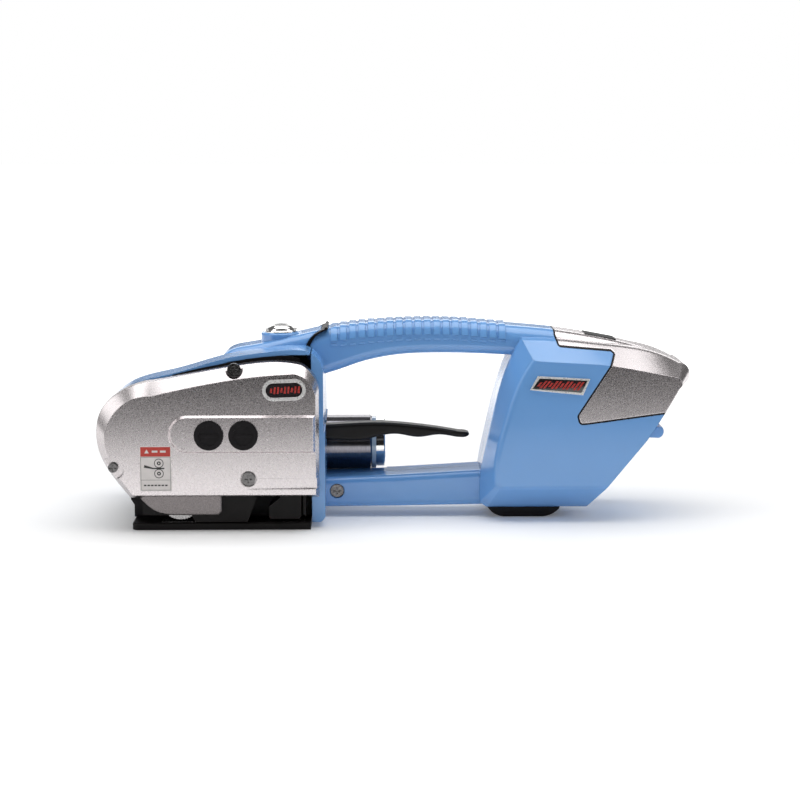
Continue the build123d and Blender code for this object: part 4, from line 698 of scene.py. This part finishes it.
def paper(name, colour, glow=0.0):
    """Matt card, with a glow of its own."""
    card = Shader(name, colour, 0.7)
    card.shader.inputs["Specular IOR Level"].default_value = 0.1
    card.shader.inputs["Emission Color"].default_value = (1.0, 1.0, 1.0, 1.0)
    card.shader.inputs["Emission Strength"].default_value = glow
    card.vary_colour(0.7, 0.004)
    return card


# pale floor with a faint glow of its own, stronger away from the object
NEAR_GLOW, FAR_GLOW = 0.10, 1.0
GLOW_START, GLOW_FULL = 0.25, 1.1        # metres from the object's middle
floor_paper = paper("studio_floor_paint", (0.88, 0.88, 0.88))
distance = floor_paper.node("ShaderNodeVectorMath", operation="LENGTH")
floor_paper.link(floor_paper.place, distance.inputs[0])
glow = floor_paper.node("ShaderNodeMapRange", interpolation_type="SMOOTHSTEP")
glow.inputs["From Min"].default_value = GLOW_START
glow.inputs["From Max"].default_value = GLOW_FULL
glow.inputs["To Min"].default_value = NEAR_GLOW
glow.inputs["To Max"].default_value = FAR_GLOW
floor_paper.link(distance.outputs["Value"], glow.inputs["Value"])
floor_paper.link(glow.outputs["Result"], floor_paper.shader.inputs["Emission Strength"])
LEVEL = (0, 0, 0)
UPRIGHT = (math.radians(90), 0, 0)
stage_plane("studio_floor", 14.0, 14.0, (0.0, 0.0, -0.0002), LEVEL, floor_paper)
only_reflected(stage_plane("studio_flag", 1.1, 0.26, (0.0, -0.33, 0.14), UPRIGHT,
                           paper("studio_flag_paint", (0.012, 0.011, 0.012))))
only_reflected(stage_plane("studio_bounce", 1.2, 0.22, (0.0, -0.20, 0.001), LEVEL,
                           paper("studio_bounce_paint", (0.9, 0.9, 0.9), 0.6)))


def area_light(name, size, size_y, energy, location, target):
    """Rectangular softbox aimed at a point and hidden from the camera."""
    light = bpy.data.lights.new(name, "AREA")
    light.shape = "RECTANGLE"
    light.size = size
    light.size_y = size_y
    light.energy = energy
    obj = bpy.data.objects.new(name, light)
    bpy.context.scene.collection.objects.link(obj)
    obj.location = location
    direction = Vector(target) - Vector(location)
    obj.rotation_euler = direction.to_track_quat("-Z", "Y").to_euler()
    obj.visible_camera = False


area_light("top_softbox", 1.3, 0.8, 9.5, (0.0, -0.05, 0.95), (0.0, 0.0, 0.05))
area_light("left_softbox", 0.5, 0.8, 2.5, (-1.0, -0.45, 0.45), (0.0, 0.0, 0.06))
area_light("right_softbox", 0.5, 0.8, 2.0, (1.0, -0.40, 0.50), (0.0, 0.0, 0.06))
area_light("back_softbox", 1.6, 0.5, 5.0, (0.0, 1.1, 0.55), (0.0, 0.0, 0.08))

# the backdrop is white, and lights the object less than it shows
ROOM_LIGHT = 0.16
world = bpy.data.worlds.new("studio_world")
world.use_nodes = True
backdrop = world.node_tree.nodes["Background"]
backdrop.inputs["Color"].default_value = (1.0, 1.0, 1.0, 1.0)
light_path = world.node_tree.nodes.new("ShaderNodeLightPath")
fill = world.node_tree.nodes.new("ShaderNodeMapRange")
fill.inputs["To Min"].default_value = ROOM_LIGHT
fill.inputs["To Max"].default_value = 1.0
world.node_tree.links.new(light_path.outputs["Is Camera Ray"], fill.inputs["Value"])
world.node_tree.links.new(fill.outputs["Result"], backdrop.inputs["Strength"])
bpy.context.scene.world = world
bpy.context.scene.view_settings.view_transform = "Standard"

# ------------------------------------------------------------------ camera
AZIMUTH = math.radians(-1.0)
ELEVATION = math.radians(9.0)
DISTANCE = 1.2
TARGET = Vector((0.002, 0.0, 0.073))
FOCAL = 84.0
camera = bpy.data.cameras.new("camera")
camera.lens = FOCAL
camera.sensor_width = 36.0
camera_object = bpy.data.objects.new("camera", camera)
bpy.context.scene.collection.objects.link(camera_object)
away = Vector((math.sin(AZIMUTH) * math.cos(ELEVATION), -math.cos(AZIMUTH) * math.cos(ELEVATION),
               math.sin(ELEVATION)))
camera_object.location = TARGET + DISTANCE * away
camera_object.rotation_euler = away.to_track_quat("Z", "Y").to_euler()
camera.clip_start = 0.01
camera.clip_end = 50.0
bpy.context.scene.camera = camera_object
